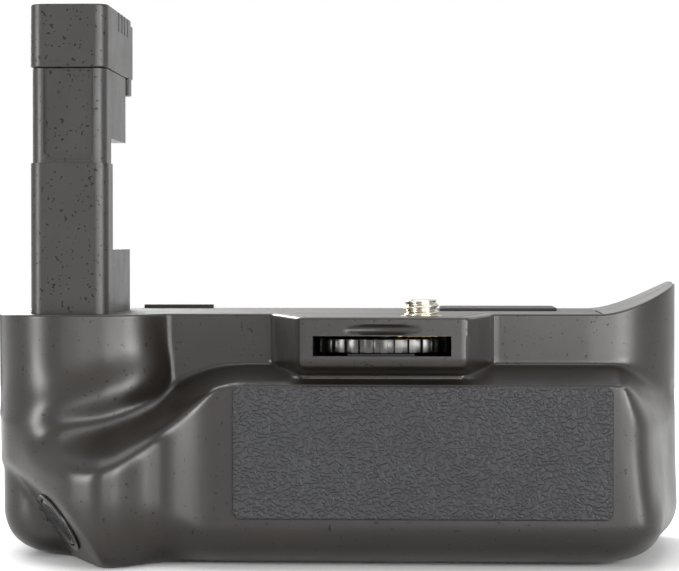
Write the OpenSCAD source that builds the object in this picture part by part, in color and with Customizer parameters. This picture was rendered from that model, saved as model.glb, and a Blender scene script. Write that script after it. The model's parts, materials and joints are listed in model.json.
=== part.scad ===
// Vertical battery grip for a small single-lens reflex camera.
// Front is -Y, the camera sits on the +Z face, and the dummy battery tower stands at -X.
// The origin is the centre of the base. All sizes are in millimetres.

/* [Body] */
// Overall width
body_w = 128; // [124:1:134]
// Height of the wheel's works, from the battery bay's ceiling to the camera seat
works_h = 13; // [12.5:0.1:13.7]
// Thickness of the moulded walls
wall = 1.9; // [1.6:0.1:2.1]
// Thickness of the moulded deck round the top opening
deck_t = 2.6; // [2.4:0.1:3]
// Radius of the lower right corner, seen from the front
corner_r = 9.5; // [8:0.5:11]
// Radius of the lower left corner, seen from the front
left_corner_r = 8.5; // [6:0.5:10]
// How far the left end leans in at its foot
left_lean = 0.4; // [0:0.1:1]
// Depth of the back shell
back_depth = 16.6; // [15:0.2:18]
// Radius of the upright back corners
back_corner_r = 9; // [6:0.5:10]
// Radius of the lower back edge
back_edge_r = 4; // [3:0.5:5]
// Rise of the ear at the right end
ear_rise = 5.6; // [3:0.2:7]
// Width of the cradle that leads up to the ear
ear_w = 15; // [12:0.5:16]
// Seam between two mouldings
seam = 0.15; // [0.1:0.05:0.3]

/* [Hand grip column] */
// Setback of the column from the finger swell
grip_set = 13.8; // [12:0.2:15]
// Width of the column
grip_w = 32.5; // [30:0.5:34]
// Round of the column's outer corner
column_r = 13; // [10:0.5:14]
// Round of the outer corner behind the release button
cheek_r = 7.5; // [6:0.5:9]
// Round of the column's inner corner
grip_inner_r = 12; // [8:0.5:13]
// How far the column's face turns away, per millimetre of width
column_tilt = 0.16; // [0.1:0.02:0.2]
// Distance of the turned part from the left end
tilt_inset = 12; // [10:0.5:14]
// Flare above the finger swell
grip_flare = 2; // [0:0.2:3]
// Height of the flare
flare_z = 30.5; // [29:0.5:32]
// Distance from the left end where the flare has that height
flare_inset = 21.7; // [20:0.1:24]
// Rise of the flare per millimetre of width
flare_slope = 0.315; // [0.2:0.005:0.4]
// Setback of the cheek behind the release button from the column
cheek_set = 5.5; // [4:0.5:7]
// Setback of the plain upper panels
panel_set = 23.5; // [22:0.5:25]
// Round of the right-hand corner
side_r = 18; // [12:0.5:19]

/* [Wheel housing] */
// Centre of the housing, right of the body's centre
housing_x = 8.5; // [8:0.1:9]
// Width of its front
housing_w = 30.2; // [30:0.2:32]
// Setback of its front from the finger swell
housing_set = 2.5; // [2:0.1:3]
// Height of its front
housing_h = 9.8; // [9.6:0.1:10.2]
// Width of its left flank, seen from the front
flank_left = 6; // [5.5:0.1:7]
// Width of its right flank, seen from the front
flank_right = 5; // [4.8:0.1:6]
// Round of its lower edge
housing_edge_r = 2.5; // [2.2:0.1:3]

/* [Lower roll] */
// Setback of the roll from the finger swell
roll_set = 3.5; // [3:0.1:4]
// Height of the roll's top at the panels
roll_h = 35.6; // [35.2:0.1:36]
// Height of the rounded ledge between the roll's face and its top
roll_ledge = 2.6; // [2.2:0.1:2.8]
// Distance of the roll's right end from the right end of the body
roll_gap = 8; // [7.5:0.1:9]
// Width of the round at the roll's right end
roll_end_w = 5; // [4.5:0.1:6]
// Depth of the round at the roll's right end
roll_end_d = 9; // [8:0.1:10]
// Drop of the roll's top at its right end
end_drop = 4; // [2:0.2:5]
// Height of the round under the roll
roll_foot_h = 8; // [7:0.2:8.4]
// Depth of the round under the roll
roll_foot_d = 13; // [10:0.5:13.5]
// Distance of the finger swell from the left end
swell_inset = 22.5; // [22:0.5:24]
// Half width of the finger swell
swell_w = 6.2; // [5:0.1:8]
// Height of the finger swell
swell_h = 27.8; // [26:0.2:29]
// Height of the slope on top of the finger swell
swell_ledge = 12; // [10:0.5:14]
// Height of the round under the finger swell
swell_foot_h = 13; // [10:0.5:14]
// Depth of the round under the finger swell
swell_foot_d = 5.5; // [4:0.5:8]
// Distance of the valley beside the finger swell from the left end
valley_inset = 32; // [30:0.5:34]
// Half width of the valley
valley_w = 6.2; // [5:0.1:8]
// Depth of the valley
valley_d = 3; // [2:0.2:4]

/* [Rubber] */
// Width of the front pad
pad_w = 67.9; // [60:0.1:68]
// Height of the front pad
pad_h = 23.9; // [20:0.1:24]
// Distance of the pad's right edge from the right end
pad_inset = 14.5; // [14.3:0.1:16]
// Height of the pad's lower edge
pad_z = 9.1; // [8.8:0.1:9.2]
// Thickness of the pad
pad_t = 1.1; // [0.9:0.1:1.4]
// Depth of the pad's pocket
pad_pocket = 0.3; // [0.2:0.05:0.5]
// Corner radius of the pad
pad_r = 1.5; // [1:0.1:3]
// Size of the mat on the camera seat, along X and Y
mat_size = [22.9, 17];
// Distance of the mat's right edge from the right end
mat_inset = 22.5; // [20:0.1:24]
// Thickness of the mat
mat_t = 0.6; // [0.4:0.1:0.8]

/* [Clamping wheel] */
// Radius of the wheel over its teeth
wheel_r = 16; // [15.5:0.1:16.1]
// How far the axle stands left of the housing's centre
wheel_shift = 0.35; // [0.3:0.05:0.5]
// Thickness of the wheel
wheel_t = 2.3; // [2:0.1:2.4]
// How far the wheel stands proud of the housing
wheel_proud = 0.4; // [0.2:0.1:0.6]
// Depth of the finger teeth
tooth_depth = 0.9; // [0.6:0.1:1.2]
// Number of finger teeth
finger_teeth = 38; // [30:1:40]
// Width of the wheel's slot
slot_w = 24.6; // [22:0.2:25]
// Height of the wheel's slot
slot_h = 3.6; // [3.4:0.1:3.8]
// Radius of the axle
axle_r = 1.5; // [1.2:0.1:2]
// Radial clearance of turning fits
turn_gap = 0.05; // [0.02:0.01:0.1]
// Number of teeth on each drive gear
gear_teeth = 12; // [10:1:14]
// Face width of the drive gears
gear_t = 1.9; // [1.6:0.1:2]
// Backlash of the drive gears
backlash = 0.16; // [0.1:0.02:0.24]
// Place of the camera screw from the wheel's axle, along X and Y
screw_offset = [7.15, -6.1];

/* [Camera screw] */
// Radius of the screw's thread
screw_r = 3.175; // [3:0.005:3.3]
// Height of the thread above the seat
screw_h = 2.9; // [2.6:0.1:4.5]
// Radius of the screw's neck
neck_r = 2.5; // [2.3:0.05:2.7]
// Thickness of the gear cover
cover_t = 1.5; // [1.4:0.1:1.6]
// Thickness of the top plate
plate_t = 1.6; // [1.5:0.1:1.8]

/* [Tower] */
// Width of the dummy battery
tower_w = 14; // [13.6:0.1:14.4]
// Distance of the tower's back from the back of the body
tower_back = 7.6; // [7:0.1:9]
// Height of the dummy battery above the seat
tower_h = 57.6; // [54:0.2:62]
// Height of the lower sleeve above the seat
sleeve_h = 28.1; // [26:0.1:30]
// Height of the cap
cap_h = 11.8; // [10:0.1:13]
// Distance of the tower from the left end
tower_inset = 6.8; // [6.6:0.1:7.4]
// Depth of the front channel
channel_d = 7.2; // [6:0.1:8]
// Height of the lower block above the seat
block_h = 12; // [10:0.5:14]
// Setback of the lower block from the tower's back
block_set = 5; // [3:0.5:8]
// Height of the open side above the seat
window_top = 32.9; // [31:0.1:36]
// Setback of the upper block from the tower's back
upper_set = 9; // [7:0.5:12]
// Wall of the tower
tower_wall = 1.4; // [1.2:0.1:1.6]
// Step between the sleeve and the part above it
tower_step = 0.3; // [0.2:0.05:0.4]
// Radius of the tower's front edges
tower_r = 2.4; // [1.5:0.1:2.6]

/* [Battery bay] */
// Width of one cell
cell_w = 38; // [36:0.2:38.4]
// Length of one cell
cell_l = 53; // [52:0.2:53.2]
// Thickness of one cell
cell_t = 14; // [13:0.1:14.1]
// Clearance round the two cells
cell_gap = 0.3; // [0.25:0.05:0.35]
// Wall of the bay's liner
liner_t = 1.4; // [1.2:0.1:1.6]
// Floor of the bay's liner
floor_t = 0.9; // [0.8:0.1:1]
// Front wall of the bay's liner
nose_t = 1.4; // [1.2:0.1:1.6]
// Gap between the liner's front wall and the front moulding
nose_gap = 0.15; // [0.1:0.05:0.3]
// Distance of the bay from the right end
bay_inset = 16; // [15.8:0.1:16.6]
// Height of the bay's floor
bay_z = 3.7; // [3.65:0.05:3.75]
// Thickness of the door
door_t = 2.2; // [2:0.1:2.4]
// Margin of the door round the bay, below and above it
door_margin = [0.8, 2.7];
// Distance of the door's left edge from the bay
door_reach = 16.5; // [15:0.5:18]
// Distance of the hinge from the right end
hinge_inset = 7.4; // [7:0.1:8]
// Radius of the hinge pin
hinge_r = 0.8; // [0.7:0.05:0.9]
// Radius of the hinge barrels
barrel_r = 1.7; // [1.5:0.05:1.8]
// How far the latch knob stands proud
knob_proud = 1.4; // [1:0.1:1.8]
// Radius of the latch knob
knob_r = 6.4; // [5:0.1:6.6]
// Distance of the latch from the bay
latch_reach = 7.4; // [7.2:0.1:8.4]
// Length and width of the latch tongue
tongue = [11, 3.4];

/* [Release button] */
// Place of the button from the left end, the front and the base
button_place = [13.1, 12, 7.5];
// Downward tilt of the button's face
button_tilt = 33; // [28:1:36]
// Turn of the button's face towards the front
button_turn = 25.5; // [22:0.5:28]
// Radius of the button
button_r = 5; // [4.5:0.1:5.2]
// Travel of the button
button_travel = 1.2; // [0.8:0.1:1.4]
// Radius of the bezel's lip
bezel_r = 6.2; // [6:0.1:6.6]

/* [Small parts] */
// Radius of the tripod socket's thread
socket_r = 3.2; // [3.1:0.05:3.3]
// Length of the tripod socket
socket_l = 7; // [6:0.5:8]
// Radius of the remote jack's bore
jack_r = 1.25; // [1.2:0.05:1.8]
// Length of the remote jack's bore
jack_l = 10; // [8:0.5:11]
// Radius of the case screws
case_screw_r = 1; // [0.8:0.1:1.2]
// Travel of the lock slider
slider_travel = 3; // [2:0.5:3.5]
// Thickness of the circuit boards
board_t = 1.6; // [1:0.1:1.8]

/* [Hidden] */

plastic = "#3e3c3a";
rubber = "#2f3133";
black = "#1d1d1e";
nickel = "#c9c6be";
brass = "#b79a55";
board_green = "#245c3a";
steel = "#9b9b9d";
smooth = 64;
eps = 0.01;

// Ends and faces of the body
body_d = roll_set + wall + nose_gap + nose_t + cell_gap + cell_l + seam + door_t + knob_proud;
left_x = -body_w / 2;
right_x = body_w / 2;
front_y = -body_d / 2;
knob_y = body_d / 2;
back_y = knob_y - knob_proud;
split_y = back_y - back_depth;
grip_y = front_y + grip_set;
panel_y = front_y + panel_set;
housing_y = front_y + housing_set;
roll_y = front_y + roll_set;
grip_right = left_x + grip_w;
housing_left = housing_x - housing_w / 2;
housing_right = housing_x + housing_w / 2;
bay_h = 2 * cell_t + 2 * cell_gap;
bay_top = bay_z + bay_h;
body_h = bay_top + works_h;
housing_z = body_h - housing_h;
swell_x = left_x + swell_inset;
valley_x = left_x + valley_inset;
steep = 4;
housing_blend = 1.6;
wall_blend = 2.5;
end_blend = 3;
facet_blend = 1.6;
cheek_blend = 1;
tilt_blend = 0.8;
flare_h = 5;
// Where the lower front changes from the finger swell to the roll, from the left end
start_span = [3, 17];
shoulder_span = [18, 43];
slope_span = [24, 48];
foot_span = [26, 42];
// Where the roll's top drops, from the right end
end_span = [13.5, 4];
end_slope = 5;
// Share of the wall's thickness that stays under the roll's ledge
ledge_share = 0.7;

// Release button's frame
button_at = [left_x + button_place[0], front_y + button_place[1], button_place[2]];
button_out = [
    -cos(button_tilt) * cos(button_turn),
    -cos(button_tilt) * sin(button_turn),
    -sin(button_tilt)
];

// Wheel drive levels and axes
wheel_at = [housing_x - wheel_shift, housing_y - wheel_proud + wheel_r];
screw_at = wheel_at + screw_offset;
drive_a = norm(screw_offset);
cover_z = body_h - cover_t;
plate_z = body_h - plate_t;
deck_z = body_h - deck_t;
level_gap = 0.3;
gear_z = cover_z - level_gap - gear_t;
wheel_z = gear_z - level_gap - wheel_t;
bracket_t = 1.3;
bracket_z = wheel_z - level_gap - bracket_t;
slot_z = wheel_z + wheel_t / 2 - slot_h / 2;
gear_module = drive_a / gear_teeth;
cover_back = panel_y + wall;
ledge = 1.3;

// Tower's corner and levels
tower_x = left_x + tower_inset;
tower_right = tower_x + tower_w;
tower_y = column_line(tower_right - tower_r, body_h, wall) + ledge + tower_step + seam;
tower_end = back_y - tower_back;
tower_d = tower_end - tower_y;
block_d = tower_d - block_set;
upper_d = tower_d - upper_set;
sleeve_z = body_h + sleeve_h;
cap_z = body_h + tower_h - cap_h;
tower_top = body_h + tower_h;
flange_t = 1.5;
flange_reach = 3.4;

// Battery bay
bay_w = cell_w + 2 * cell_gap;
bay_x = right_x - bay_inset - bay_w;
bay_back = back_y - door_t - seam;
bay_front = bay_back - cell_l - cell_gap;
door_x = bay_x - door_reach;
door_z = bay_z - door_margin[0];
door_top = bay_top + door_margin[1];
door_y = back_y - door_t;
hinge_depth = 1.3;
hinge_at = [right_x - hinge_inset, back_y - hinge_depth];
barrel_gap = 0.3;
latch_at = [bay_x - latch_reach, (door_z + door_top) / 2];
seat_y = door_y - wall;
socket_wall = 1.8;
socket_flange = [4.5, 1.6];
socket_gap = 0.3;
socket_x = bay_x - liner_t - socket_r - socket_flange[0] - socket_gap;

function square_of(v) = v * v;
function share_of(v, a, b) = min(1, max(0, (v - a) / (b - a)));
function ramp(v, a, b) = let (s = share_of(v, a, b)) s * s * (3 - 2 * s);
function ease(v, a, b) = let (s = share_of(v, a, b)) s * s * s * (10 - 15 * s + 6 * s * s);
function bump(x, at, w) = exp(-square_of((x - at) / w));
function joined(a, b, k) = let (h = max(k - abs(a - b), 0) / k) min(a, b) - h * h * k / 4;
function trimmed(a, b, k) = -joined(-a, -b, k);
// Depth of a rounded edge at a distance d inside it
function rounded(d, r) = d >= r ? 0 : d <= 0 ? r - steep * d : r - sqrt(r * r - square_of(r - d));

// Outline of the body seen from the front, t inside the outer skin
function corner_in(h, r) = h >= r ? 0 : r - sqrt(max(0, r * r - square_of(r - h)));
function left_at(z, t) =
    left_x + t + left_lean * (1 - z / body_h) + corner_in(z - t, left_corner_r - t);
function right_at(z, t) = right_x - t - corner_in(z - t, corner_r - t);
function ear(x) = let (s = max(0, (x - right_x + ear_w) / ear_w)) ear_rise * pow(s, 1.6);

// Front surface of the upper walls without the wheel housing
function flare_line(x) = flare_z + flare_slope * (x - left_x - flare_inset);
function column_line(x, z, t) =
    grip_y + t + trimmed(0, column_tilt * (x - left_x - tilt_inset), tilt_blend)
    - grip_flare * bump(z, flare_line(x), flare_h)
    + rounded(x - left_at(z, t), column_r - t)
    + rounded(grip_right - t - x, grip_inner_r - t);
function panel_line(x, z, t) = panel_y + t + rounded(right_at(z, t) - x, side_r - t);
function upper_line(x, z, t) = joined(column_line(x, z, t), panel_line(x, z, t), wall_blend);
function flank(slope, d, t) = slope * (d + t * sqrt(1 + 1 / square_of(slope)));
left_slope = (panel_set - housing_set) / flank_left;
right_slope = (panel_set - housing_set) / flank_right;
function housing_line(x, z, t) =
    trimmed(
        trimmed(
            housing_y + t,
            housing_y + flank(left_slope, housing_left - x, t),
            housing_blend
        ),
        housing_y + flank(right_slope, x - housing_right, t),
        housing_blend
    ) + rounded(z - housing_z - t, housing_edge_r - t);
// Face of the roll and the finger swell, with the valley between them
function roll_line(x, z, t) =
    roll_y + t - roll_set * bump(x, swell_x, swell_w) + valley_d * bump(x, valley_x, valley_w)
    + roll_end_d / roll_end_w * rounded(right_at(z, t) - roll_gap - x, roll_end_w - t);
// How much of the front belongs to the roll: 1 on its face, 0 above its ledge
function along(x, span) = ramp(x, left_x + span[0], left_x + span[1]);
function roll_share(x, z, t) =
    let (end = ramp(x, right_x - end_span[0], right_x - end_span[1]))
    let (rise = (roll_h - swell_h) * along(x, shoulder_span) - end_drop * end)
    let (top = swell_h + rise - ledge_share * t)
    let (slope = swell_ledge + (roll_ledge - swell_ledge) * along(x, slope_span) + end_slope * end)
    (1 - ease(z, top - slope, top)) * along(x - t, start_span);
// Round under the finger swell and the roll
function foot_line(x, z, t) =
    let (s = along(x, foot_span))
    let (high = swell_foot_h + (roll_foot_h - swell_foot_h) * s)
    let (deep = swell_foot_d + (roll_foot_d - swell_foot_d) * s)
    deep / high * rounded(z - t, high - t);
function facet_line(x, z, t) =
    let (p = button_at - t * button_out)
    p[1] - (button_out[0] * (x - p[0]) + button_out[2] * (z - p[2])) / button_out[1];
// The cheek stays where the button's facet cuts the column away
function cheek_line(x, z, t) =
    grip_y + cheek_set + t
    + rounded(x - left_at(z, t), cheek_r - t)
    + rounded(z - t, left_corner_r / 2 - t)
    + rounded(grip_right - t - x, grip_inner_r - t);
function front_line(x, z, t) =
    let (upper = upper_line(x, z, t))
    let (roll = joined(roll_line(x, z, t), upper, end_blend))
    let (low = upper + (roll - upper) * roll_share(x, z, t))
    let (face = joined(low, housing_line(x, z, t), housing_blend) + foot_line(x, z, t))
    joined(trimmed(face, facet_line(x, z, t), facet_blend), cheek_line(x, z, t), cheek_blend);

// Places where the front skin is sampled, closer together at its edges
core_left = left_x + left_lean + column_r;
core_right = right_x - side_r;
edge_room = 2;
function between(a, b, step) =
    let (n = max(1, ceil((b - a) / step)))
    [for (i = [0 : n - 1]) a + (b - a) * i / n];
function core_xs(fine, wide) = concat(
    between(core_left + 1, grip_right - grip_inner_r / 2, 0.7 * wide),
    between(grip_right - grip_inner_r / 2, grip_right + edge_room, fine),
    between(grip_right + edge_room, housing_left - flank_left - edge_room, wide),
    between(housing_left - flank_left - edge_room, housing_left + edge_room, fine),
    between(housing_left + edge_room, housing_right - edge_room, wide),
    between(housing_right - edge_room, housing_right + flank_right + edge_room, fine),
    between(housing_right + flank_right + edge_room, core_right - 1, wide)
);
function low_zs(n, t) = [for (i = [0 : n]) t + (corner_r - t) * (1 - cos(90 * i / n))];
function skin_zs(n, fine, wide, t, top) =
    let (ledge_low = roll_h - roll_ledge - 1, ledge_top = roll_h + fine / 2)
    let (edge_top = housing_z + housing_edge_r + 1)
    concat(
        low_zs(n, t),
        between(corner_r + wide, swell_h - swell_ledge, wide),
        between(swell_h - swell_ledge, swell_h, 1.5 * fine),
        between(swell_h, ledge_low, fine),
        between(ledge_low, ledge_top, fine / 2),
        between(ledge_top, edge_top, fine),
        between(edge_top, top, wide),
        [top]
    );
function skin_row(z, t, n, xs) =
    let (a = left_at(z, t), b = right_at(z, t), ra = column_r - t, rb = side_r - t)
    let (k = (b - rb - a - ra) / (core_right - core_left))
    concat(
        [for (i = [0 : n]) a + ra * (1 - cos(90 * i / n))],
        [for (x = xs) a + ra + (x - core_left) * k],
        [for (i = [2 * n : -1 : 0]) b - rb * (1 - cos(45 * i / n))]
    );

// Body of the grip in front of y_end, t inside the skin, its top lowered by top_t
module front_form(t, top_t, y_end, n, fine, wide) {
    zs = skin_zs(n, fine, wide, t, body_h - top_t);
    xs = core_xs(fine, wide);
    rows = [
        for (z = zs)
        let (row = skin_row(z, t, n, xs))
        let (lift = ramp(z, swell_h, body_h - top_t))
        let (pts = [
            for (x = row)
            let (h = z + lift * ear(x))
            [x, min(front_line(x, h, t), y_end - 1), h]
        ])
        concat(
            [[pts[0][0], y_end, pts[0][2]]],
            pts,
            [[pts[len(pts) - 1][0], y_end, pts[len(pts) - 1][2]]]
        )
    ];
    m = len(rows);
    w = len(rows[0]);
    top_row = rows[m - 1];
    points = concat(
        [for (row = rows) each row],
        [for (j = [2 : w - 3]) [top_row[j][0], y_end, top_row[j][2]]]
    );
    function at(i, j) = i * w + j;
    function rim(j) = j == 1 ? at(m - 1, 0) : j == w - 2 ? at(m - 1, w - 1) : m * w + j - 2;
    faces = concat(
        [for (i = [0 : m - 2], j = [0 : w - 2]) [at(i, j), at(i + 1, j), at(i + 1, j + 1)]],
        [for (i = [0 : m - 2], j = [0 : w - 2]) [at(i, j), at(i + 1, j + 1), at(i, j + 1)]],
        [for (j = [1 : w - 3]) [at(m - 1, j + 1), at(m - 1, j), rim(j)]],
        [for (j = [1 : w - 3]) [at(m - 1, j + 1), rim(j), rim(j + 1)]],
        [[for (j = [0 : w - 1]) at(0, j)]],
        [concat(
            [for (i = [m - 1 : -1 : 0]) at(i, 0)],
            [for (i = [0 : m - 1]) at(i, w - 1)],
            [for (j = [w - 3 : -1 : 2]) rim(j)]
        )]
    );
    polyhedron(points, faces, convexity = 10);
}

// Outline of the back, t inside the outer skin
function back_outline(t, top_t) =
    let (zs = low_zs(9, t))
    let (tip = ear(right_x - t))
    concat(
        [[left_at(body_h, t), body_h - top_t]],
        [for (i = [len(zs) - 1 : -1 : 0]) [left_at(zs[i], t), zs[i]]],
        [for (z = zs) [right_at(z, t), z]],
        [[right_x - t, body_h - top_t + tip]],
        [
            for (i = [7 : -1 : 0])
            let (x = right_x - ear_w + (ear_w - t) * i / 8)
            [x, body_h - top_t + ear(x)]
        ]
    );
module along_y(y0, y1) {
    translate([0, y1, 0]) rotate([90, 0, 0]) linear_extrude(y1 - y0) children();
}
module along_x(x0, x1) {
    translate([x0, 0, 0]) rotate([90, 0, 90]) linear_extrude(x1 - x0) children();
}
// Rounded cuboid of the back: its outline, its upright corners and its lower edge
module back_form(t, top_t, y0) {
    reach = body_h + ear_rise + 2;
    r = back_corner_r - t;
    e = back_edge_r - t;
    intersection() {
        along_y(y0, back_y - t) polygon(back_outline(t, top_t));
        linear_extrude(reach) {
            translate([left_x, y0 - 1]) square([body_w, back_y - t - r - y0 + 1]);
            translate([left_x + t + r, y0 - 1]) square([body_w - 2 * t - 2 * r, back_y - t - y0 + 1]);
            for (x = [left_x + t + r, right_x - t - r])
                translate([x, back_y - t - r]) circle(r, $fn = smooth);
        }
        along_x(left_x - 1, right_x + 1) {
            translate([y0 - 1, t + e]) square([back_y - t - y0 + 1, reach]);
            translate([y0 - 1, 0]) square([back_y - t - e - y0 + 1, reach]);
            translate([back_y - t - e, t + e]) circle(e, $fn = smooth);
        }
    }
}

// Place and parts of the button, its own +Z pointing out of the face
module at_button() {
    translate(button_at) rotate([0, 90 + button_tilt, 180 + button_turn]) children();
}
module ring(r_out, r_in, h, fn = smooth) {
    difference() {
        cylinder(r = r_out, h = h, $fn = fn);
        translate([0, 0, -1]) cylinder(r = r_in, h = h + 2, $fn = fn);
    }
}
module slab(x0, x1, y0, y1, z0, z1) {
    translate([x0, y0, z0]) cube([x1 - x0, y1 - y0, z1 - z0]);
}
// Flat rectangle with round corners, made of true arcs
module round_rect(w, h, r) {
    translate([r, 0]) square([w - 2 * r, h]);
    translate([0, r]) square([w, h - 2 * r]);
    for (x = [r, w - r], y = [r, h - r]) translate([x, y]) circle(r, $fn = smooth);
}

// Outlines of the two covers on the deck, g inside their openings
plate_step = 0.5;
plate_chamfer = 6;
plate_xs = between(left_at(body_h, wall) + plate_step, right_x - ear_w - 1, 3);
module plate_outline(g) {
    far_x = right_x - ear_w - g;
    near_x = left_at(body_h, wall) + g;
    rear_y = back_y - wall - seam - g;
    polygon(concat(
        [[near_x, rear_y - plate_chamfer], [near_x, column_line(near_x + plate_step, body_h, wall) + g]],
        [
            for (x = plate_xs)
            if (x > near_x + plate_step && x < far_x - plate_step) [x, upper_line(x, body_h, wall) + g]
        ],
        [[far_x, upper_line(far_x, body_h, wall) + g], [far_x, rear_y], [near_x + plate_chamfer, rear_y]]
    ));
}
cover_edge = 0.3;
module cover_outline(g) {
    front = housing_y + wall + g;
    back = g == seam ? cover_back - seam : cover_back + eps;
    in = wall + g + cover_edge;
    polygon([
        [housing_left + in, front],
        [housing_right - in, front],
        [housing_right - in + (back - housing_y) / right_slope, back],
        [housing_left + in - (back - housing_y) / left_slope, back]
    ]);
}
module on_deck(z0, z1) {
    translate([0, 0, z0]) linear_extrude(z1 - z0) children();
}

// Case screws from the back: X, Z, the front end of the boss, and the reach of its ribs along X and Z
boss_inset = [7, 10];
boss_drop = 8.5;
boss_rise = 6.5;
boss_low = 8.5;
boss_end = 3;
boss_beside = [5.4, 10];
case_places = [
    [left_x + boss_inset[0], body_h - boss_drop, boss_end, -boss_inset[0], 0],
    [left_x + boss_inset[1], boss_low, boss_end, -4, -boss_low],
    [housing_left - flank_left - boss_beside[0], bay_top + boss_rise, panel_y + 1, 0, -9],
    [housing_right + flank_right + boss_beside[1], bay_top + boss_rise, panel_y + 1, 0, -3]
];
boss_r = 2.8;
boss_rib = 1.2;
rib_end = 3;
screw_depth = 8;
head_r = 2 * case_screw_r;
head_t = 1.4;
screw_gap = 0.12;

// Sculpted front moulding: column, panels, wheel housing, roll and finger swell
module front_shell() {
    color(plastic) difference() {
        union() {
            difference() {
                front_form(0, 0, split_y, 8, 1, 2.6);
                front_form(wall, deck_t, split_y + 2, 5, 1.5, 5);
            }
            intersection() {
                front_form(wall / 2, deck_t / 2, split_y, 5, 1.5, 5);
                for (p = case_places) case_boss(p);
            }
        }
        on_deck(plate_z, body_h + 1) plate_outline(0);
        on_deck(deck_z - 1, body_h) plate_outline(ledge);
        on_deck(cover_z, body_h + 1) cover_outline(0);
        on_deck(deck_z - 1, body_h) cover_outline(ledge);
        slab(housing_x - slot_w / 2, housing_x + slot_w / 2, front_y - 1, housing_y + wall + 2,
            slot_z, slot_z + slot_h);
        finger_scoop();
        pad_bed();
        at_button() translate([0, 0, -2 * cup_depth])
            cylinder(r = bezel_r - bezel_lip + seam, h = 4 * cup_depth, $fn = smooth);
        at_button() translate([0, 0, lip_seat - seam])
            cylinder(r = bezel_r + seam, h = 2 * cup_depth, $fn = smooth);
        translate([socket_x, 0, -1]) cylinder(r = socket_r + socket_wall + seam, h = wall + 2, $fn = smooth);
        for (p = case_places) translate([p[0], split_y + 1, p[1]]) rotate([90, 0, 0])
            cylinder(r = case_screw_r + screw_gap, h = screw_depth + 1, $fn = smooth);
    }
}
// Screw boss that runs back to the seam, with two ribs to the nearest wall
module case_boss(p) {
    along_y(p[2], split_y) translate([p[0], p[1]]) circle(boss_r, $fn = smooth);
    for (k = [-1, 1]) hull() {
        rib_bar(p[0] + k, p[1] - k, p[2], split_y - 1);
        rib_bar(p[0] + k + p[3], p[1] - k + p[4], p[2], p[2] + rib_end);
    }
}
module rib_bar(x, z, y0, y1) {
    slab(x - boss_rib / 2, x + boss_rib / 2, y0, y1, z - boss_rib / 2, z + boss_rib / 2);
}
// Nail groove above the wheel
scoop_r = 20;
scoop_edge = 0.85;
scoop_depth = 1.1;
scoop_drop = 0.55;
module finger_scoop() {
    z = (slot_z + slot_h + body_h) / 2 - scoop_drop;
    translate([housing_x, housing_y + scoop_depth - scoop_r, z])
        rotate_extrude($fn = 160) translate([scoop_r - scoop_edge, 0]) circle(scoop_edge, $fn = 16);
}
bed_reach = 3;
module pad_bed() {
    translate([0, roll_y + pad_pocket, 0]) rotate([90, 0, 0]) linear_extrude(bed_reach)
        translate([right_x - pad_inset - pad_w - seam, pad_z - seam])
            round_rect(pad_w + 2 * seam, pad_h + 2 * seam, pad_r + seam);
}

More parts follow.
